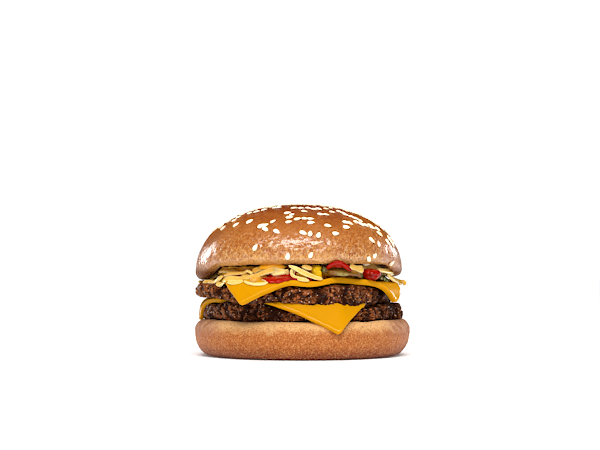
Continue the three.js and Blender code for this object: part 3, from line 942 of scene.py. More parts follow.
class BURGER_OT_seeds(Operator):
    """Strew sesame over the bun's top"""

    bl_idname = "burger.seeds"
    bl_label = "Sesame seeds"

    def execute(self, context):
        look = chosen("seed")
        chance = random.Random(11)
        crust = tree_of("bun_top_crust")
        spots = [(EYE, Vector((x, 0, z)) - EYE, tilt) for x, z, tilt in FRONT_SEEDS]
        spots += self.strewn(look.strewn, chance)
        skins = Skins()
        for at, normal, tilt in sown(spots, crust, chance):
            self.grain(skins, look, at, normal, math.radians(tilt), chance)
        place("sesame_seeds", skins.mesh("sesame_seeds"), seed_finish())
        return {"FINISHED"}

    @staticmethod
    def strewn(wanted, chance):
        """Lines straight down onto the crust, in clusters and then by chance over the back."""
        middle = Vector((*BUN_TOP["centre"], 0))
        taken, spots = [], []

        def above(azimuth, reach):
            return middle + Vector((reach * math.sin(azimuth), -reach * math.cos(azimuth), 100))

        def take(at):
            taken.append(at)
            spots.append((at, Vector((0, 0, -1)), chance.uniform(0, 180)))

        for azimuth, reach, spread, number in SEED_CLUSTERS:
            heart = above(math.radians(azimuth), reach)
            for _ in range(number):
                for _ in range(40):
                    at = heart + Vector((chance.gauss(0, spread), chance.gauss(0, spread), 0))
                    free = all((at - other).length > 1.9 for other in taken)
                    if free and (at - middle).xy.length < 42:
                        break
                take(at)
        made = 0
        while made < wanted:
            azimuth, reach = chance.uniform(0, 2 * math.pi), 40 * chance.random() ** 0.62
            at = above(azimuth, reach)
            back = (at.y - middle.y + 16.5) / 9
            if chance.random() > back or any((at - other).length < 2.6 for other in taken):
                continue
            take(at)
            made += 1
        return spots

    @staticmethod
    def grain(skins, look, at, normal, tilt, chance):
        """One seed, blunt at one end and pointed at the other, pressed a little into the crust."""
        t = np.linspace(0, 1, 15)
        taper = np.sin(math.pi * t**0.72) ** 0.72
        size = chance.uniform(0.88, 1.1)
        long, wide, thick = (size * v / MM for v in (look.long, look.wide, look.thick))
        ahead = Vector((math.cos(tilt), 0, math.sin(tilt)))
        if abs(normal.y) < 0.35 and normal.z > 0.8:
            ahead = Vector((math.cos(tilt), math.sin(tilt), 0))
        ahead = (ahead - normal * ahead.dot(normal)).normalized()
        bend = chance.uniform(0.0, 0.12)
        lift = thick * 0.28
        line = [at + normal * (lift + bend * math.sin(math.pi * s)) + ahead * long * (s - 0.5) for s in t]
        rings = strip([tuple(p) for p in line], wide, thick, taper, up=normal, sides=12, squareness=0.9)
        tip = np.repeat(smooth(t, 0.72, 1.0)[:, None], 12, axis=1)
        skins.add(rings, tip=tip, toast=chance.random() ** 3 * 0.5)


# ---- Cheese ----


def draped(cheese, azimuth, along, above):
    """Where a slice lies once it has folded over its patty: flat, round the edge, then hanging."""
    (start, first), (end, second) = cheese["droop"]
    steepest = np.radians(first + (second - first) * smooth(azimuth, math.radians(start), math.radians(end)))
    fold, bend, patty = cheese["fold"] - summed(cheese["snug"], azimuth), cheese["bend"], cheese["patty"]
    angle = np.clip((along - fold) / bend, 0, steepest)
    hanging = np.maximum(0, along - fold - steepest * bend)
    r = np.minimum(along, fold) + (bend + above) * np.sin(angle) + hanging * np.cos(angle)
    drop = (bend + above) * (1 - np.cos(angle)) + hanging * np.sin(angle)
    x, y = patty["centre"]
    z = patty["top"] + SLICE_GAP + above - drop
    return np.stack([x + r * np.sin(azimuth), y - r * np.cos(azimuth), z], -1)


def slice_outline(cheese, points_a_side=92):
    """The azimuths round a square slice, closer together at its corners, and its reach at each."""
    side = np.sin(np.linspace(-1, 1, points_a_side, endpoint=False) * math.pi / 2)
    whole = np.ones_like(side)
    across = np.concatenate([whole, -side, -whole, side])
    aside = np.concatenate([side, whole, -side, -whole])
    reach = cheese["reach"]
    x = across * np.where(across > 0, reach[0], reach[2])
    y = aside * np.where(aside > 0, reach[1], reach[3])
    azimuth = wrapped(np.arctan2(y, x) + math.radians(cheese["turn"]))
    corner = CORNER_CUT * np.clip((np.abs(across * aside) - 0.93) / 0.07, 0, 1) ** 2
    return azimuth, (np.hypot(x, y) - corner) * (1 - summed(cheese["draw"], azimuth))


def slice_section(flat, inner, thick):
    """The reach, height and share of cut edge of a slice's rings, from under its middle to over it."""
    for t in np.linspace(0, 1, 8):
        yield flat * t, 0.0, 0.0
    for t in np.linspace(0, 1, 22)[1:]:
        yield flat + (inner - flat) * t**1.2, 0.0, 0.0
    for angle in np.radians(np.linspace(-80, 80, 9)):
        yield inner + SLICE_EDGE * math.cos(angle) ** 0.6, thick * (1 + math.sin(angle)) / 2, 1.0
    for t in np.linspace(1, 0, 48)[:-1]:
        yield flat + (inner - flat) * t**1.2, thick, 0.35 if t == 1 else 0.0
    for t in np.linspace(1, 0, 8):
        yield flat * t, thick, 0.0


def cheese_rings(cheese, ripple):
    """The skin of a slice over its patty, with marks on the cut edge, and on the bead and bend that shine."""
    azimuth, outline = slice_outline(cheese)
    swung = azimuth + np.radians(summed(cheese["swing"], azimuth))
    flat = np.minimum(cheese["fold"], 0.85 * outline)
    thick, seed = cheese["thick"], cheese["seed"]
    rows = list(slice_section(flat, outline - SLICE_EDGE, thick))
    along = np.array([reach for reach, _, _ in rows])
    above = np.array([height for _, height, _ in rows])[:, None]
    edge = np.repeat(np.array([share for _, _, share in rows])[:, None], len(azimuth), axis=1)
    upper = above > thick / 2
    bead = np.exp(-(((outline - along - 1.0) / 0.9) ** 2)) * upper
    flow = np.stack([along * np.cos(azimuth), along * np.sin(azimuth), np.full_like(along, 9 * seed)], -1)
    flow = flow.reshape(-1, 3)
    waves = ripple * (rumple(flow, 17, seed, 1) + 0.35 * rumple(flow, 6, seed + 1, 1))
    waves = waves.reshape(along.shape) * smooth(along, cheese["fold"] - 12, cheese["fold"] + 4)
    waves += summed(cheese["wave"], azimuth) * smooth(along, 35, 41)
    bent = between(along, (flat - 1, flat + 2), (flat + 3, flat + 6)) * upper
    rings = draped(cheese, swung[None, :], along, above + waves + 0.22 * bead)
    return rings, dict(edge=edge, bead=np.clip(bead * (1 - edge) + 0.4 * bent, 0, 1))


class BURGER_OT_cheese(Operator):
    """Lay a slice of cheese over each patty"""

    bl_idname = "burger.cheese"
    bl_label = "Cheese"

    def execute(self, context):
        finish = cheese_finish()
        ripple = chosen("cheese").ripple / MM
        for layer, cheese in LAYERS.items():
            rings, marks = cheese_rings(cheese, ripple)
            skins = Skins()
            skins.add(rings, **marks)
            name = "cheese_slice_" + layer
            place(name, skins.mesh(name), finish, "cheese", ["cheese_" + layer])
        return {"FINISHED"}


# ---- Patties ----


def patty_profile(patty, azimuths):
    """The rings of a patty with a lumpy rim, whose underside sags towards it."""
    outline = patty["radius"] + patty["lumps"] * (
        0.6 * around(azimuths, 2, patty["seed"]) + 0.7 * around(azimuths, 7, patty["seed"])
    )
    flat = outline - PATTY_EDGE
    facing = wrapped(azimuths)
    start, end = (math.radians(a) for a in patty["sag_from"])
    fade = math.radians(12)
    sagging = smooth(facing, start - fade, start + fade) * smooth(-facing, -end - fade, fade - end)
    depth = (patty["sag"] + summed(patty["sags"], facing)) * sagging

    def bottom(r):
        return patty["bottom"] - depth * smooth(r, flat - 5, flat)

    reaches = [*np.linspace(0, 0.7, 6), *np.linspace(0.7, 1, 24)[1:]]
    middle = (patty["top"] + bottom(flat)) / 2
    for t in reaches:
        yield flat * t, bottom(flat * t)
    for angle in np.radians(np.linspace(-90, 90, 46)[1:-1]):
        lump = 0.5 * patty["lumps"] * around(azimuths + angle / 4, 9, patty["seed"])
        out = PATTY_EDGE * math.cos(angle) ** 0.8 + lump * math.cos(angle)
        yield flat + out, middle + (patty["top"] - middle) * math.sin(angle)
    for t in reversed(reaches):
        yield flat * t, patty["top"]


class BURGER_OT_patties(Operator):
    """Grill the patties"""

    bl_idname = "burger.patties"
    bl_label = "Patties"

    def execute(self, context):
        finish = meat_finish()
        slices = {layer: tree_of("cheese_slice_" + layer) for layer in LAYERS}
        for layer, cheese in LAYERS.items():
            patty = cheese["patty"]
            skins = Skins()
            rings = lathe(patty["centre"], lambda azimuths: patty_profile(patty, azimuths), COLUMNS["patty"])
            skins.add(rings)

            def relief(points, normals, marks):
                moved = self.grilled(points, normals, marks, cheese)
                self.tuck(moved, patty, slices[layer])
                self.clear(moved, slices.values())
                return moved

            name = "grilled_patty_" + layer
            place(name, skins.mesh(name, relief), finish, "meat", ["patty_" + layer])
        return {"FINISHED"}

    def grilled(self, points, normals, marks, cheese):
        """Crumbs of mince in lumps with cracks between them, and a rim that follows the cheese's waves."""
        look = chosen("meat")
        patty = cheese["patty"]
        seed = round(10 * patty["seed"])
        low, top = patty["bottom"], patty["top"]
        away = points[:, :2] - patty["centre"]
        reach = np.hypot(away[:, 0], away[:, 1])
        azimuth = np.degrees(np.arctan2(away[:, 0], -away[:, 1]))
        warped = points + 1.2 * np.stack([rumple(points, 5, seed + i, 1) for i in range(3)], 1)
        crack = 0.55 * (1 - smooth(pebbles(warped, 12, seed, (1, 1, 2.2)), 0.0, 0.12))
        for at, wide in patty["cracks"]:
            beside = apart(azimuth, at) + 1.5 * np.sin(points[:, 2] * 0.8 + at)
            crack = np.maximum(crack, np.exp(-((beside / wide) ** 2)))
        crumbs = smooth(pebbles(warped, look.crumb_size / MM, seed + 3), 0.02, 0.55)
        strands = 1 - 2.4 * np.abs(rumple(warped, 2.6, seed + 8, 1))
        grains = smooth(pebbles(points, 0.45 * look.crumb_size / MM, seed + 4), 0.0, 0.5)
        high = 0.8 * rumple(points, 9, seed + 5, 1) + 0.55 * rumple(points, 4.5, seed + 9, 1) - 0.35
        high += look.crumb_height / MM * (crumbs - 0.6) + 0.28 * strands + 0.3 * (grains - 0.5)
        high = (high - look.crack_depth / MM * crack) * (1 - 0.75 * normals[:, 2] ** 2)
        high = np.where(np.abs(normals[:, 2]) > 0.9, np.minimum(high, 0.1), high)
        moved = points + normals * high[:, None]
        hang = smooth(reach, patty["radius"] - 2.5, patty["radius"]) * smooth(-normals[:, 2], -0.3, 0.6)
        if patty is PATTY_UPPER:
            hang *= 1 - smooth(-azimuth, 48, 62)
        moved[:, 2] -= hang * 1.1 * smooth(rumple(points, 11, seed + 7, 1), -0.1, 0.7)
        waves = summed(cheese["wave"], np.radians(azimuth))
        moved[:, 2] += waves * smooth(reach, 35, 41) * smooth(points[:, 2], low, top)
        start, end, out, lift = patty["raised"]
        raised = smooth(reach, *out) * smooth(normals[:, 2], -0.2, 0.5) * between(azimuth, start, end)
        moved[:, 2] += lift * raised
        foot = 1 - smooth(points[:, 2], low - patty["sag"] - 0.5, low - patty["sag"] + 2.2)
        # Random charring plus painted shade: darker at the foot, where the patty sits on what is under it,
        # and in the cracks; darker also towards the right end.
        burn = 0.42 + 0.5 * rumple(points, 13, seed + 6, 2) + 0.5 * foot + 0.5 * smooth(away[:, 0], 34, 41)
        marks["burn"] = np.clip(burn + 0.5 * crack, 0, 1)
        # Painted shade, deepest in the cracks and in the hollows between crumbs.
        marks["hollow"] = np.clip(1.1 - 0.45 * crumbs - 0.25 * grains - 0.35 * strands + 0.7 * crack, 0, 1.3)
        return moved

    @staticmethod
    def tuck(points, patty, own_slice, inside=34, near=36):
        """Moves points near the rim that stick out through the slice on the patty back under it."""
        cx, cy = patty["centre"]
        for i, (x, y, z) in enumerate(points.tolist()):
            ahead = Vector((x - cx, y - cy, 0))
            reach = ahead.length
            if reach < near or z > patty["top"] + 0.25:
                continue
            ahead /= reach
            hit = own_slice.ray_cast(Vector((cx, cy, z)) + ahead * inside, ahead, 16)[3]
            if hit is not None and inside + hit - 0.2 < reach:
                points[i, :2] = (cx + ahead.x * (inside - 0.2 + hit), cy + ahead.y * (inside - 0.2 + hit))

    @staticmethod
    def clear(points, slices):
        """Moves points that touch a slice of cheese off its skin."""
        for i, point in enumerate(points.tolist()):
            for tree in slices:
                spot, normal, _, _ = tree.find_nearest(point, 1.5)
                if spot is not None and (Vector(point) - spot).dot(normal) < SKIN_GAP:
                    points[i] = spot + normal * SKIN_GAP


# ---- Onion ----

# Strips at the front: points across and up as seen from there, how far out, width, thickness, and paleness,
# which is negative on a strip as deep in colour as the heap's inside.
FRONT_STRIPS = (
    (((-44.7, 31.9), (-42, 32.6), (-39.9, 32.2), (-37.7, 33.4), (-35.7, 35.3)), 41.5, 1.9, 1.1, 0.5),
    (((-38.5, 31.2), (-36.5, 31.2), (-34.4, 32.4)), 43.0, 1.8, 1.1, 0.6),
    (((-37.1, 37.4), (-35.1, 37.6), (-32.2, 37.4), (-29, 36.9)), 37.5, 2.3, 1.2, 0.1),
    (((-35.7, 33.4), (-32.2, 33.2), (-27.7, 33.8), (-22.9, 34.9)), 42.6, 2.9, 1.3, 0.6),
    (((-33.5, 32.1), (-30.3, 31.8), (-26.4, 32.6)), 43.6, 1.7, 1.0, 0.8),
    (((-35.4, 35.2), (-31.5, 36.1), (-27, 36.4), (-24.6, 36.6)), 40.6, 1.6, 1.0, 0.5),
    (((-25.6, 37.2), (-23.8, 37.1), (-22.2, 35.9)), 41.4, 1.2, 0.9, 0.9),
    (((-27, 35.7), (-25.1, 35.4), (-23.2, 34.9)), 41.0, 1.8, 1.0, 0.0),
    (((-23.8, 33.8), (-20.6, 35.2), (-16.8, 36.7), (-13.2, 37.6), (-10, 37.9)), 42.2, 2.5, 1.3, 0.5),
    (((-13.9, 36.6), (-11, 36.8), (-7.1, 37)), 42.6, 3.0, 1.4, 0.9),
    (((-23.3, 32.9), (-20.6, 33.1), (-18, 33.9), (-16.1, 35.1)), 41.6, 2.4, 1.2, 0.0),
    (((-26.1, 32.6), (-23.8, 31.6), (-20.6, 31.2), (-17.4, 31.5), (-15.2, 32.1)), 46.9, 1.3, 1.0, 1.0),
    (((-15.4, 31.9), (-16.4, 32.9), (-18.2, 33.2)), 46.2, 1.1, 0.9, 0.9),
    (((-22.5, 37.1), (-20.3, 37.9), (-17.4, 38.5)), 40.6, 2.0, 1.0, 0.1),
    (((-19.7, 39), (-15.8, 39.4), (-11.6, 39.4), (-7.4, 39.1)), 40.6, 2.4, 1.2, -1.0),
    (((-7, 38.3), (-6.7, 36.8), (-6.6, 35)), 42.6, 1.2, 1.0, 0.9),
    (((-6.3, 40), (-2.9, 38.5), (0.6, 36.7), (3.8, 35.3), (6.4, 34.3), (9.4, 33.8)), 45.2, 1.7, 1.0, 0.7),
    (((-4.6, 38.4), (-4.9, 36.5), (-3.7, 34.9), (-1.4, 34.0), (0.9, 33.5), (3.4, 33.0)), 45.2, 1.4, 1.0, 1.0),
    (((-3.3, 37.9), (-3.9, 36.2), (-3.7, 34.6)), 43.6, 1.0, 0.8, 0.9),
    (((-0.3, 39.4), (2.3, 39), (4.6, 38.2)), 42.4, 1.9, 1.1, 0.6),
    (((-2.9, 36.1), (-0.3, 34.9), (1.9, 33.9)), 42.2, 1.5, 1.0, 0.0),
    (((21.4, 39.6), (23.4, 38.8), (25.6, 38.2), (27.6, 38.6)), 44.3, 2.9, 1.4, 0.7),
    (((23.8, 37.8), (25.4, 36.9), (27, 37.3)), 44.0, 2.4, 1.3, 0.6),
    (((27.5, 38.8), (30.6, 38.5), (34.3, 38.1)), 43.4, 1.2, 0.9, 0.1),
    (((34.4, 37.9), (37.6, 37.4), (40.6, 37.1)), 45.6, 2.6, 1.2, 0.8),
    (((38.1, 36.4), (39.7, 36.0), (41, 36.2)), 45.4, 1.8, 1.0, 0.6),
    (((33.0, 36.9), (36.2, 36.4), (39.2, 35.3)), 42.0, 2.6, 1.3, 0.4),
    (((26.5, 40.0), (29.5, 39.8), (33.0, 39.3), (36.5, 38.5), (39.0, 37.5)), 41.0, 2.2, 1.2, 0.6),
    (((38.6, 35.2), (40.8, 33.9), (43.1, 32.8), (45.4, 31.9)), 46.8, 2.7, 1.2, 0.6),
    (((44.4, 33.0), (45.9, 32.2), (46.0, 31.0)), 47.0, 1.5, 1.0, 0.2),
)
FRONT_SHARES = (1.08, 0.95)  # the shares of the listed width and thickness that they are laid with


def heap_profile(azimuths):
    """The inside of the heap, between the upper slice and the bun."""
    cx, cy = HEAP["centre"]
    outline = HEAP["radius"] + HEAP["lobes"] * (around(azimuths, 4, 2.2) + around(azimuths, 9, 4.4))
    low = PATTY_UPPER["top"] + SLICE_GAP + CHEESE_UPPER["thick"] + 0.2
    for v in np.linspace(0, 1, 42):
        r = outline * min(1, 3 * min(v, 1 - v))
        face = cut_face(cx + r * np.sin(azimuths), cy - r * np.cos(azimuths))
        yield r, low + (face - 0.35 - low) * smooth(v, 0.33, 0.67)


class BURGER_OT_onion(Operator):
    """Heap onion strips on the upper slice of cheese"""

    bl_idname = "burger.onion"
    bl_label = "Onion"

    def execute(self, context):
        look = chosen("onion")
        chance = random.Random(5)
        finish = onion_finish()
        core = Skins()
        core.add(lathe(HEAP["centre"], heap_profile, COLUMNS["heap"]), deep=1.0, rind=0.3, pale=0.0)
        place("onion_inside", core.mesh("onion_inside", self.packed), finish, "onion", ["onion_heap"])
        strips = Skins()
        below = tree_of("cheese_slice_upper", "grilled_patty_upper")
        for path, reach, width, thick, pale in FRONT_STRIPS:
            points = [self.rested(*point, reach, thick, below) for point in path]
            width, thick = FRONT_SHARES[0] * width, FRONT_SHARES[1] * thick
            self.lay(strips, points, width, thick, max(pale, 0), chance, max(-pale, 0))
        self.strew(strips, below, look.strips, chance)
        place("onion_strips", strips.mesh("onion_strips"), finish, "onion", ["onion_heap"])
        return {"FINISHED"}

    @staticmethod
    def rested(across, up, reach, thick, below):
        """The point that shows at (across, up), on top of what is below if it would be inside that."""
        point = Vector(seen(across, up, reach))
        ahead = (point - EYE).normalized()
        at, normal, _, away = below.ray_cast(EYE, ahead)
        if at is None or away > (point - EYE).length + thick * 0.4:
            return point
        return at + normal * thick * 0.4

    @staticmethod
    def packed(points, normals, marks):
        """Relief as of strips pressed together, on the heap's side."""
        side = 1 - 0.8 * normals[:, 2] ** 2
        strands = smooth(pebbles(points, 3.0, 51, (1.6, 1.6, 0.6)), 0.0, 0.4)
        return points + normals * ((1.1 * (strands - 0.8) + 0.5 * rumple(points, 6, 52)) * side)[:, None]

    @staticmethod
    def lay(strips, points, width, thick, pale, chance, deep=0.0, rows=26, sides=14):
        """One strip through the points, a little uneven, cupped and twisted."""
        path = curve_through(points, rows)
        path += 0.12 * np.stack([rumple(path, 2.5, chance.randrange(99), 1) for _ in range(3)], 1)
        taper = blunt(rows) * (1 + 0.12 * np.sin(np.linspace(0, 1, rows) * 7 + chance.uniform(0, 6)))
        rings = strip(
            path, width, thick, taper, up=(0, -0.85, 0.5), cup=chance.uniform(-0.25, 0.25),
            twist=chance.uniform(-0.5, 0.5), sides=sides, squareness=0.5,
        )
        phi = np.linspace(0, 2 * math.pi, sides, endpoint=False)
        rind = np.repeat((np.abs(np.cos(phi)) ** 3)[None, :], rows, axis=0)
        strips.add(rings, pale=pale, rind=rind, deep=deep)

    def strew(self, strips, below, wanted, chance):
        """Strips all round the heap, between what carries them and the bun."""
        above = tree_of("bun_top_crust")
        cx, cy = HEAP["centre"]
        for _ in range(wanted):
            azimuth = chance.uniform(-math.pi, math.pi)
            front = abs(azimuth) < math.radians(58)
            reach = chance.uniform(27, 33) if front else 29 + 12 * chance.random() ** 0.8
            if -95 < math.degrees(azimuth) < 0:
                reach = min(reach, 33)
            heart = Vector((cx + reach * math.sin(azimuth), cy - reach * math.cos(azimuth), 0))
            turn = azimuth + chance.gauss(0, 0.45)
            long, curve = chance.uniform(7, 17), chance.uniform(-0.04, 0.06)
            share, slope = chance.uniform(0.08, 0.92), chance.uniform(-0.12, 0.12)
            width, thick = chance.uniform(1.5, 2.9), chance.uniform(1.0, 1.5)
            points = []
            for s in np.linspace(-0.5, 0.5, 5) * long:
                heading = turn + curve * s
                at = heart + Vector((math.cos(heading), math.sin(heading), 0)) * s
                low = below.ray_cast(at + Vector((0, 0, 36.5)), Vector((0, 0, -1)))[0]
                top = above.ray_cast(at + Vector((0, 0, 25)), Vector((0, 0, 1)))[0]
                if low is None or top is None:
                    continue
                floor, roof = low.z + thick * 0.6, top.z - thick * 0.6
                z = floor + (roof - floor) * share + slope * s
                points.append((at.x, at.y, min(max(z, floor), max(roof, floor))))
            if len(points) >= 3:
                self.lay(strips, points, width, thick, chance.random(), chance, 0.7 if front else 0.1)


# ---- Pickles ----

# Where each slice lies, how it is tilted in degrees, and how far it is peeled: 1 on the slice in front.
PICKLES = {
    "pickle_front": dict(at=(15.8, -32.6, 38.5), lean=4, pitch=3, seed=0.5, peeled=1),
    "pickle_right": dict(at=(28.6, -15.8, 36.2), lean=7, pitch=3, seed=1.9, peeled=0),
}


class BURGER_OT_pickles(Operator):
    """Lay slices of pickled gherkin on the onion"""

    bl_idname = "burger.pickles"
    bl_label = "Pickles"

    def execute(self, context):
        finish = pickle_finish()
        for node, pickle in PICKLES.items():
            seed = pickle["seed"]
            rings = lathe((0, 0), lambda azimuths: self.profile(azimuths, seed), COLUMNS["pickle"])
            skins = Skins()
            skins.add(rings, out=np.hypot(rings[..., 0], rings[..., 1]) / PICKLE["radius"])

            def relief(points, normals, marks):
                moved = self.sliced(points, normals, marks, seed, pickle["peeled"])
                return tilted(moved, pickle["lean"], pickle["pitch"]) + np.array(pickle["at"])

            place(node + "_slice", skins.mesh(node + "_slice", relief), finish, "pickle", [node])
        return {"FINISHED"}

    @staticmethod
    def profile(azimuths, seed):
        """The rings of a round slice with a rounded rim."""
        outline = PICKLE["radius"] + PICKLE["unevenness"] * around(azimuths, 2, seed)
        edge, half = PICKLE["edge"], PICKLE["thick"] / 2
        for t in np.linspace(0, 1, 16):
            yield (outline - edge) * t, -half
        for angle in np.radians(np.linspace(-90, 90, 20)[1:-1]):
            yield outline - edge + edge * math.cos(angle) ** 0.7, half * math.sin(angle)
        for t in np.linspace(1, 0, 46):
            yield (outline - edge) * t, half

    @staticmethod
    def seeds(x, y, seed, number=26):
        """1 in the middle of each seed of the slice, falling to 0 round it."""
        chance = random.Random(seed)
        high = np.zeros(len(x))
        for i in range(number):
            turn = i * 2 * math.pi / number + chance.uniform(-0.12, 0.12)
            r = chance.uniform(3.2, 7.6)
            along = x * math.sin(turn) - y * math.cos(turn) - r
            aside = x * math.cos(turn) + y * math.sin(turn)
            high = np.maximum(high, np.exp(-((along / 1.1) ** 2) - (aside / 0.5) ** 2))
        return high

    def sliced(self, points, normals, marks, seed, peeled):
        """Ridges in the skin, seeds round the heart, and a droop to the front and the right."""
        x, y = points[:, 0], points[:, 1]
        azimuth = np.arctan2(x, -y)
        seeds = self.seeds(x, y, seed)
        face = smooth(normals[:, 2], 0.2, 0.8)
        ridges = np.sin(azimuth * 24 + 2 * np.sin(azimuth * 5 + seed))
        marks["seed"] = smooth(seeds, 0.4, 0.75)
        marks["skin"] = smooth(marks["out"], 0.925, 0.965) * (1 - face)
        marks["ridge"] = smooth(ridges, 0.2, 0.8)
        marks["peeled"] = peeled * between(np.degrees(azimuth), (-42, -26), (58, 74))
        marks["pale"] = np.exp(-(((x - 1.2) / 3.4) ** 2)) * smooth(-y, 2, 5)
        high = face * (0.3 * seeds - 0.25 * smooth(np.hypot(x, y), 8.4, 9.2)) + 0.14 * rumple(points, 1.8, 71)
        high += 0.16 * ridges * (1 - np.abs(normals[:, 2])) + 0.3 * rumple(points, 2.4, 73, 2)
        moved = points + normals * high[:, None]
        moved[:, 2] += peeled * 0.8 * smooth(-x, 3, 8) * smooth(normals[:, 2], -0.2, 0.5)
        moved[:, 2] -= 0.028 * np.maximum(moved[:, 0] - 1, 0) ** 2
        moved[:, 2] -= peeled * 0.042 * np.maximum(-3.5 - y, 0) ** 2
        return moved


# ---- Sauces ----


def dollop(at, size, lean, pitch, seed, lobes=0.16):
    """A flattened ball of sauce with soft lobes."""

    def profile(azimuths):
        for angle in np.radians(np.linspace(-90, 90, 26)):
            yield math.cos(angle) * (1 + lobes * around(azimuths, 3, seed)), math.sin(angle)

    ball = lathe((0, 0), profile, COLUMNS["dollop"])
    return tilted(ball * np.array(size), lean, pitch) + np.array(at)


def squeezed(path, width, thick, rows=24):
    """A thick thread of sauce along a path."""
    return strip(curve_through(path, rows), width, thick, blunt(rows, 4), sides=16, squareness=1.0)


# The sauce of each node. A dollop has its place, size, lean, pitch and seed. A pool's spots, each with its
# place from above, width and thickness, rest on the upper slice. A thread has its path, width and thickness.
SAUCES = {
    "ketchup_left": dict(
        dollops=(((-7.2, -39.2, 35.2), (8.4, 7.0, 2.3), 0, 9, 1.7),),
        pool=(
            (-14.6, -45.2, 2.6, 1.0), (-12.6, -47.4, 2.8, 1.1), (-9.6, -47.8, 3.0, 1.2),
            (-6.8, -46.8, 3.0, 1.1), (-4.0, -45.4, 2.8, 1.0), (-10.5, -44.0, 4.4, 1.4),
            (-5.8, -43.4, 4.2, 1.4), (-1.4, -43.4, 3.2, 1.3), (1.6, -42.6, 2.6, 1.2),
        ),
    ),
    "ketchup_middle": dict(
        dollops=(((15.2, -38.4, 40.0), (4.6, 4.0, 0.9), 4, 12, 4.2),),
        threads=(
            ((
                (10.2, -41.0, 38.2), (11.6, -42.2, 39.4), (13.3, -42.8, 40.4), (15.4, -43.0, 40.8),
                (17.2, -42.8, 40.1), (18.8, -42.3, 38.8), (21.0, -41.4, 37.2),
            ), 2.8, 2.1),
        ),
    ),
    "ketchup_right": dict(
        dollops=(
            ((29.6, -30.4, 36.4), (3.6, 4.4, 2.2), 4, 0, 6.4),
            ((28.2, -31.2, 36.7), (2.6, 3.2, 1.9), 4, 2, 2.4),
            ((31.3, -30.6, 36.3), (2.6, 3.2, 1.9), 8, 2, 8.8),
            ((29.8, -31.6, 35.0), (3.3, 2.8, 1.5), 4, 6, 5.1),
        ),
    ),
    "mustard": dict(
        dollops=(
            ((5.4, -36.0, 37.4), (3.2, 6.4, 2.4), 0, 0, 9.3),
            ((5.8, -40.2, 38.7), (2.6, 2.0, 1.4), 0, 4, 1.2),
            ((6.0, -41.0, 36.6), (2.4, 1.9, 1.9), 0, 14, 4.9),
            ((6.2, -42.0, 35.0), (2.3, 2.2, 1.3), 0, 16, 6.6),
        ),
    ),
}


class BURGER_OT_sauces(Operator):
    """Squeeze ketchup and mustard onto the fillings"""

    bl_idname = "burger.sauces"
    bl_label = "Sauces"

    def execute(self, context):
        look = chosen("sauce")
        finishes = {
            "ketchup": sauce_finish("tomato_ketchup", look.ketchup, look.ketchup_deep, 81),
            "mustard": sauce_finish("yellow_mustard", look.mustard, look.mustard_deep, 85),
        }
        cheese = tree_of("cheese_slice_upper")
        for node, sauce in SAUCES.items():
            skins = Skins()
            for shape in sauce["dollops"]:
                skins.add(dollop(*shape))
            for x, y, wide, thick in sauce.get("pool", ()):
                at, normal, _, _ = cheese.ray_cast(Vector((x, y, 36)), Vector((0, 0, -1)))
                if at is None:
                    raise RuntimeError("a pool of ketchup misses the slice")
                pitch = math.degrees(math.atan2(-normal.y, normal.z))
                lean = math.degrees(math.atan2(normal.x, normal.z))
                skins.add(dollop(at + normal * 0.2, (wide, wide * 0.85, thick), lean, pitch, x + y))
            for thread in sauce.get("threads", ()):
                skins.add(squeezed(*thread))
            kind = node.split("_")[0]
            place(node + "_dollop", poured(node + "_dollop", skins), finishes[kind], kind, [node])
        return {"FINISHED"}


# ---- Stage ----

# The lamps: kind, place and size in m, and the setting that holds the power of each. All face the same spot.
LAMP_AIM = Vector((0, 0, 0.045))
LAMPS = {
    "overhead": ("SUN", (0.05, -0.3, 1.0), dict(angle=math.radians(60)), "sun"),
    "front_softbox": ("AREA", (-0.02, -0.45, 0.415), dict(size=0.55, size_y=0.1), "front"),
    "left_softbox": ("AREA", (-0.44, 0.345, 0.15), dict(size=0.18, size_y=0.11), "sides"),
    "right_softbox": ("AREA", (0.44, 0.345, 0.15), dict(size=0.18, size_y=0.11), "sides"),
}
FLOOR_HALF = 6.0  # half of the floor's side, in m
FLOOR_GAP = 0.0001  # keeps the floor just under the foot of the bun


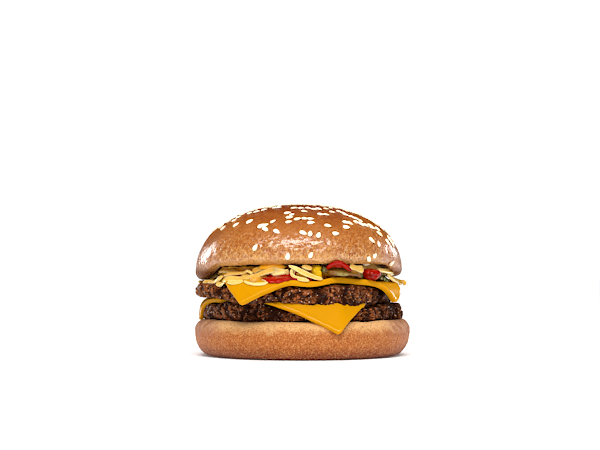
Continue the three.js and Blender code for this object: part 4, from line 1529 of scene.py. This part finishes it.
class BURGER_OT_stage(Operator):
    """Set the floor, the lights and the camera"""

    bl_idname = "burger.stage"
    bl_label = "Stage"

    def execute(self, context):
        look = chosen("stage")
        scene = context.scene
        self.floor(scene)
        for name, (kind, at, form, power) in LAMPS.items():
            self.lamp(scene, name, kind, at, form, getattr(look, power))
        self.sky(scene, look.sky)
        self.camera(scene)
        scene.view_settings.view_transform = "Standard"
        self.develop(scene)
        return {"FINISHED"}

    @staticmethod
    def floor(scene):
        mesh = bpy.data.meshes.new("floor")
        corners = [(x * FLOOR_HALF, y * FLOOR_HALF, 0) for x, y in ((-1, -1), (1, -1), (1, 1), (-1, 1))]
        mesh.from_pydata(corners, [], [(0, 1, 2, 3)])
        mesh.materials.append(floor_finish())
        floor = bpy.data.objects.new("floor", mesh)
        floor.location.z = -FLOOR_GAP
        scene.collection.objects.link(floor)

    @staticmethod
    def camera(scene):
        camera = bpy.data.cameras.new("camera")
        for setting, value in CAMERA.items():
            setattr(camera, setting, value)
        view = bpy.data.objects.new("camera", camera)
        view.location = EYE * MM
        view.rotation_euler = (math.radians(CAMERA_TILT), 0, 0)
        scene.collection.objects.link(view)
        scene.camera = view

    @staticmethod
    def develop(scene):
        """Sharpens the picture a little."""
        scene.use_nodes = True
        nodes, links = scene.node_tree.nodes, scene.node_tree.links
        nodes.clear()
        layers = nodes.new("CompositorNodeRLayers")
        crisp = nodes.new("CompositorNodeFilter")
        crisp.filter_type = "SHARPEN_DIAMOND"
        crisp.inputs["Fac"].default_value = 0.1
        result = nodes.new("CompositorNodeComposite")
        links.new(layers.outputs["Image"], crisp.inputs["Image"])
        links.new(crisp.outputs["Image"], result.inputs["Image"])

    @staticmethod
    def lamp(scene, name, kind, at, form, power):
        """A lamp that faces the middle of the burger. The overhead one leaves no reflection of itself."""
        source = bpy.data.lights.new(name, kind)
        if kind == "AREA":
            source.shape = "RECTANGLE"
        source.energy = power
        for setting, value in form.items():
            setattr(source, setting, value)
        lamp = bpy.data.objects.new(name, source)
        lamp.location = at
        lamp.rotation_euler = (LAMP_AIM - Vector(at)).to_track_quat("-Z", "Y").to_euler()
        lamp.visible_camera = False
        lamp.visible_glossy = kind != "SUN"
        scene.collection.objects.link(lamp)

    @staticmethod
    def sky(scene, strength):
        """Soft light from all round, dimmer in reflections, and plain white behind the burger."""
        world = bpy.data.worlds.new("studio")
        world.use_nodes = True
        scene.world = world
        nodes, links = world.node_tree.nodes, world.node_tree.links
        path = nodes.new("ShaderNodeLightPath")
        shown = next(n for n in nodes if n.type == "BACKGROUND")
        shown.inputs["Strength"].default_value = strength
        for ray, share in (("Is Glossy Ray", 0.05 * strength), ("Is Camera Ray", 1.05)):
            other = nodes.new("ShaderNodeBackground")
            other.inputs["Strength"].default_value = share
            mix = nodes.new("ShaderNodeMixShader")
            links.new(path.outputs[ray], mix.inputs[0])
            links.new(shown.outputs[0], mix.inputs[1])
            links.new(other.outputs[0], mix.inputs[2])
            shown = mix
        links.new(shown.outputs[0], next(n for n in nodes if n.type == "OUTPUT_WORLD").inputs[0])
        for node in nodes:
            if node.type == "BACKGROUND":
                node.inputs["Color"].default_value = (1, 1, 1, 1)


# ---- The add-on ----

OPERATORS = (
    BURGER_OT_stage, BURGER_OT_bun_bottom, BURGER_OT_bun_top, BURGER_OT_seeds, BURGER_OT_cheese,
    BURGER_OT_patties, BURGER_OT_onion, BURGER_OT_pickles, BURGER_OT_sauces,
)


class BURGER_PT_panel(Panel):
    """The steps that build the burger"""

    bl_label = "Double Cheeseburger"
    bl_space_type = "VIEW_3D"
    bl_region_type = "UI"
    bl_category = "Burger"

    def draw(self, context):
        for operator in OPERATORS:
            self.layout.operator(operator.bl_idname)
        for group, kind in SETTINGS.items():
            box = self.layout.box()
            box.label(text=group.title())
            for name in kind.__annotations__:
                box.prop(chosen(group), name)


CLASSES = (*SETTINGS.values(), *OPERATORS, BURGER_PT_panel)


def register():
    for cls in CLASSES:
        bpy.utils.register_class(cls)
    for group, kind in SETTINGS.items():
        setattr(bpy.types.Scene, "burger_" + group, PointerProperty(type=kind))


def unregister():
    for group in SETTINGS:
        delattr(bpy.types.Scene, "burger_" + group)
    for cls in reversed(CLASSES):
        bpy.utils.unregister_class(cls)


def main():
    register()
    for operator in OPERATORS:
        getattr(bpy.ops.burger, operator.bl_idname.split(".")[1])()


if __name__ == "__main__":
    main()
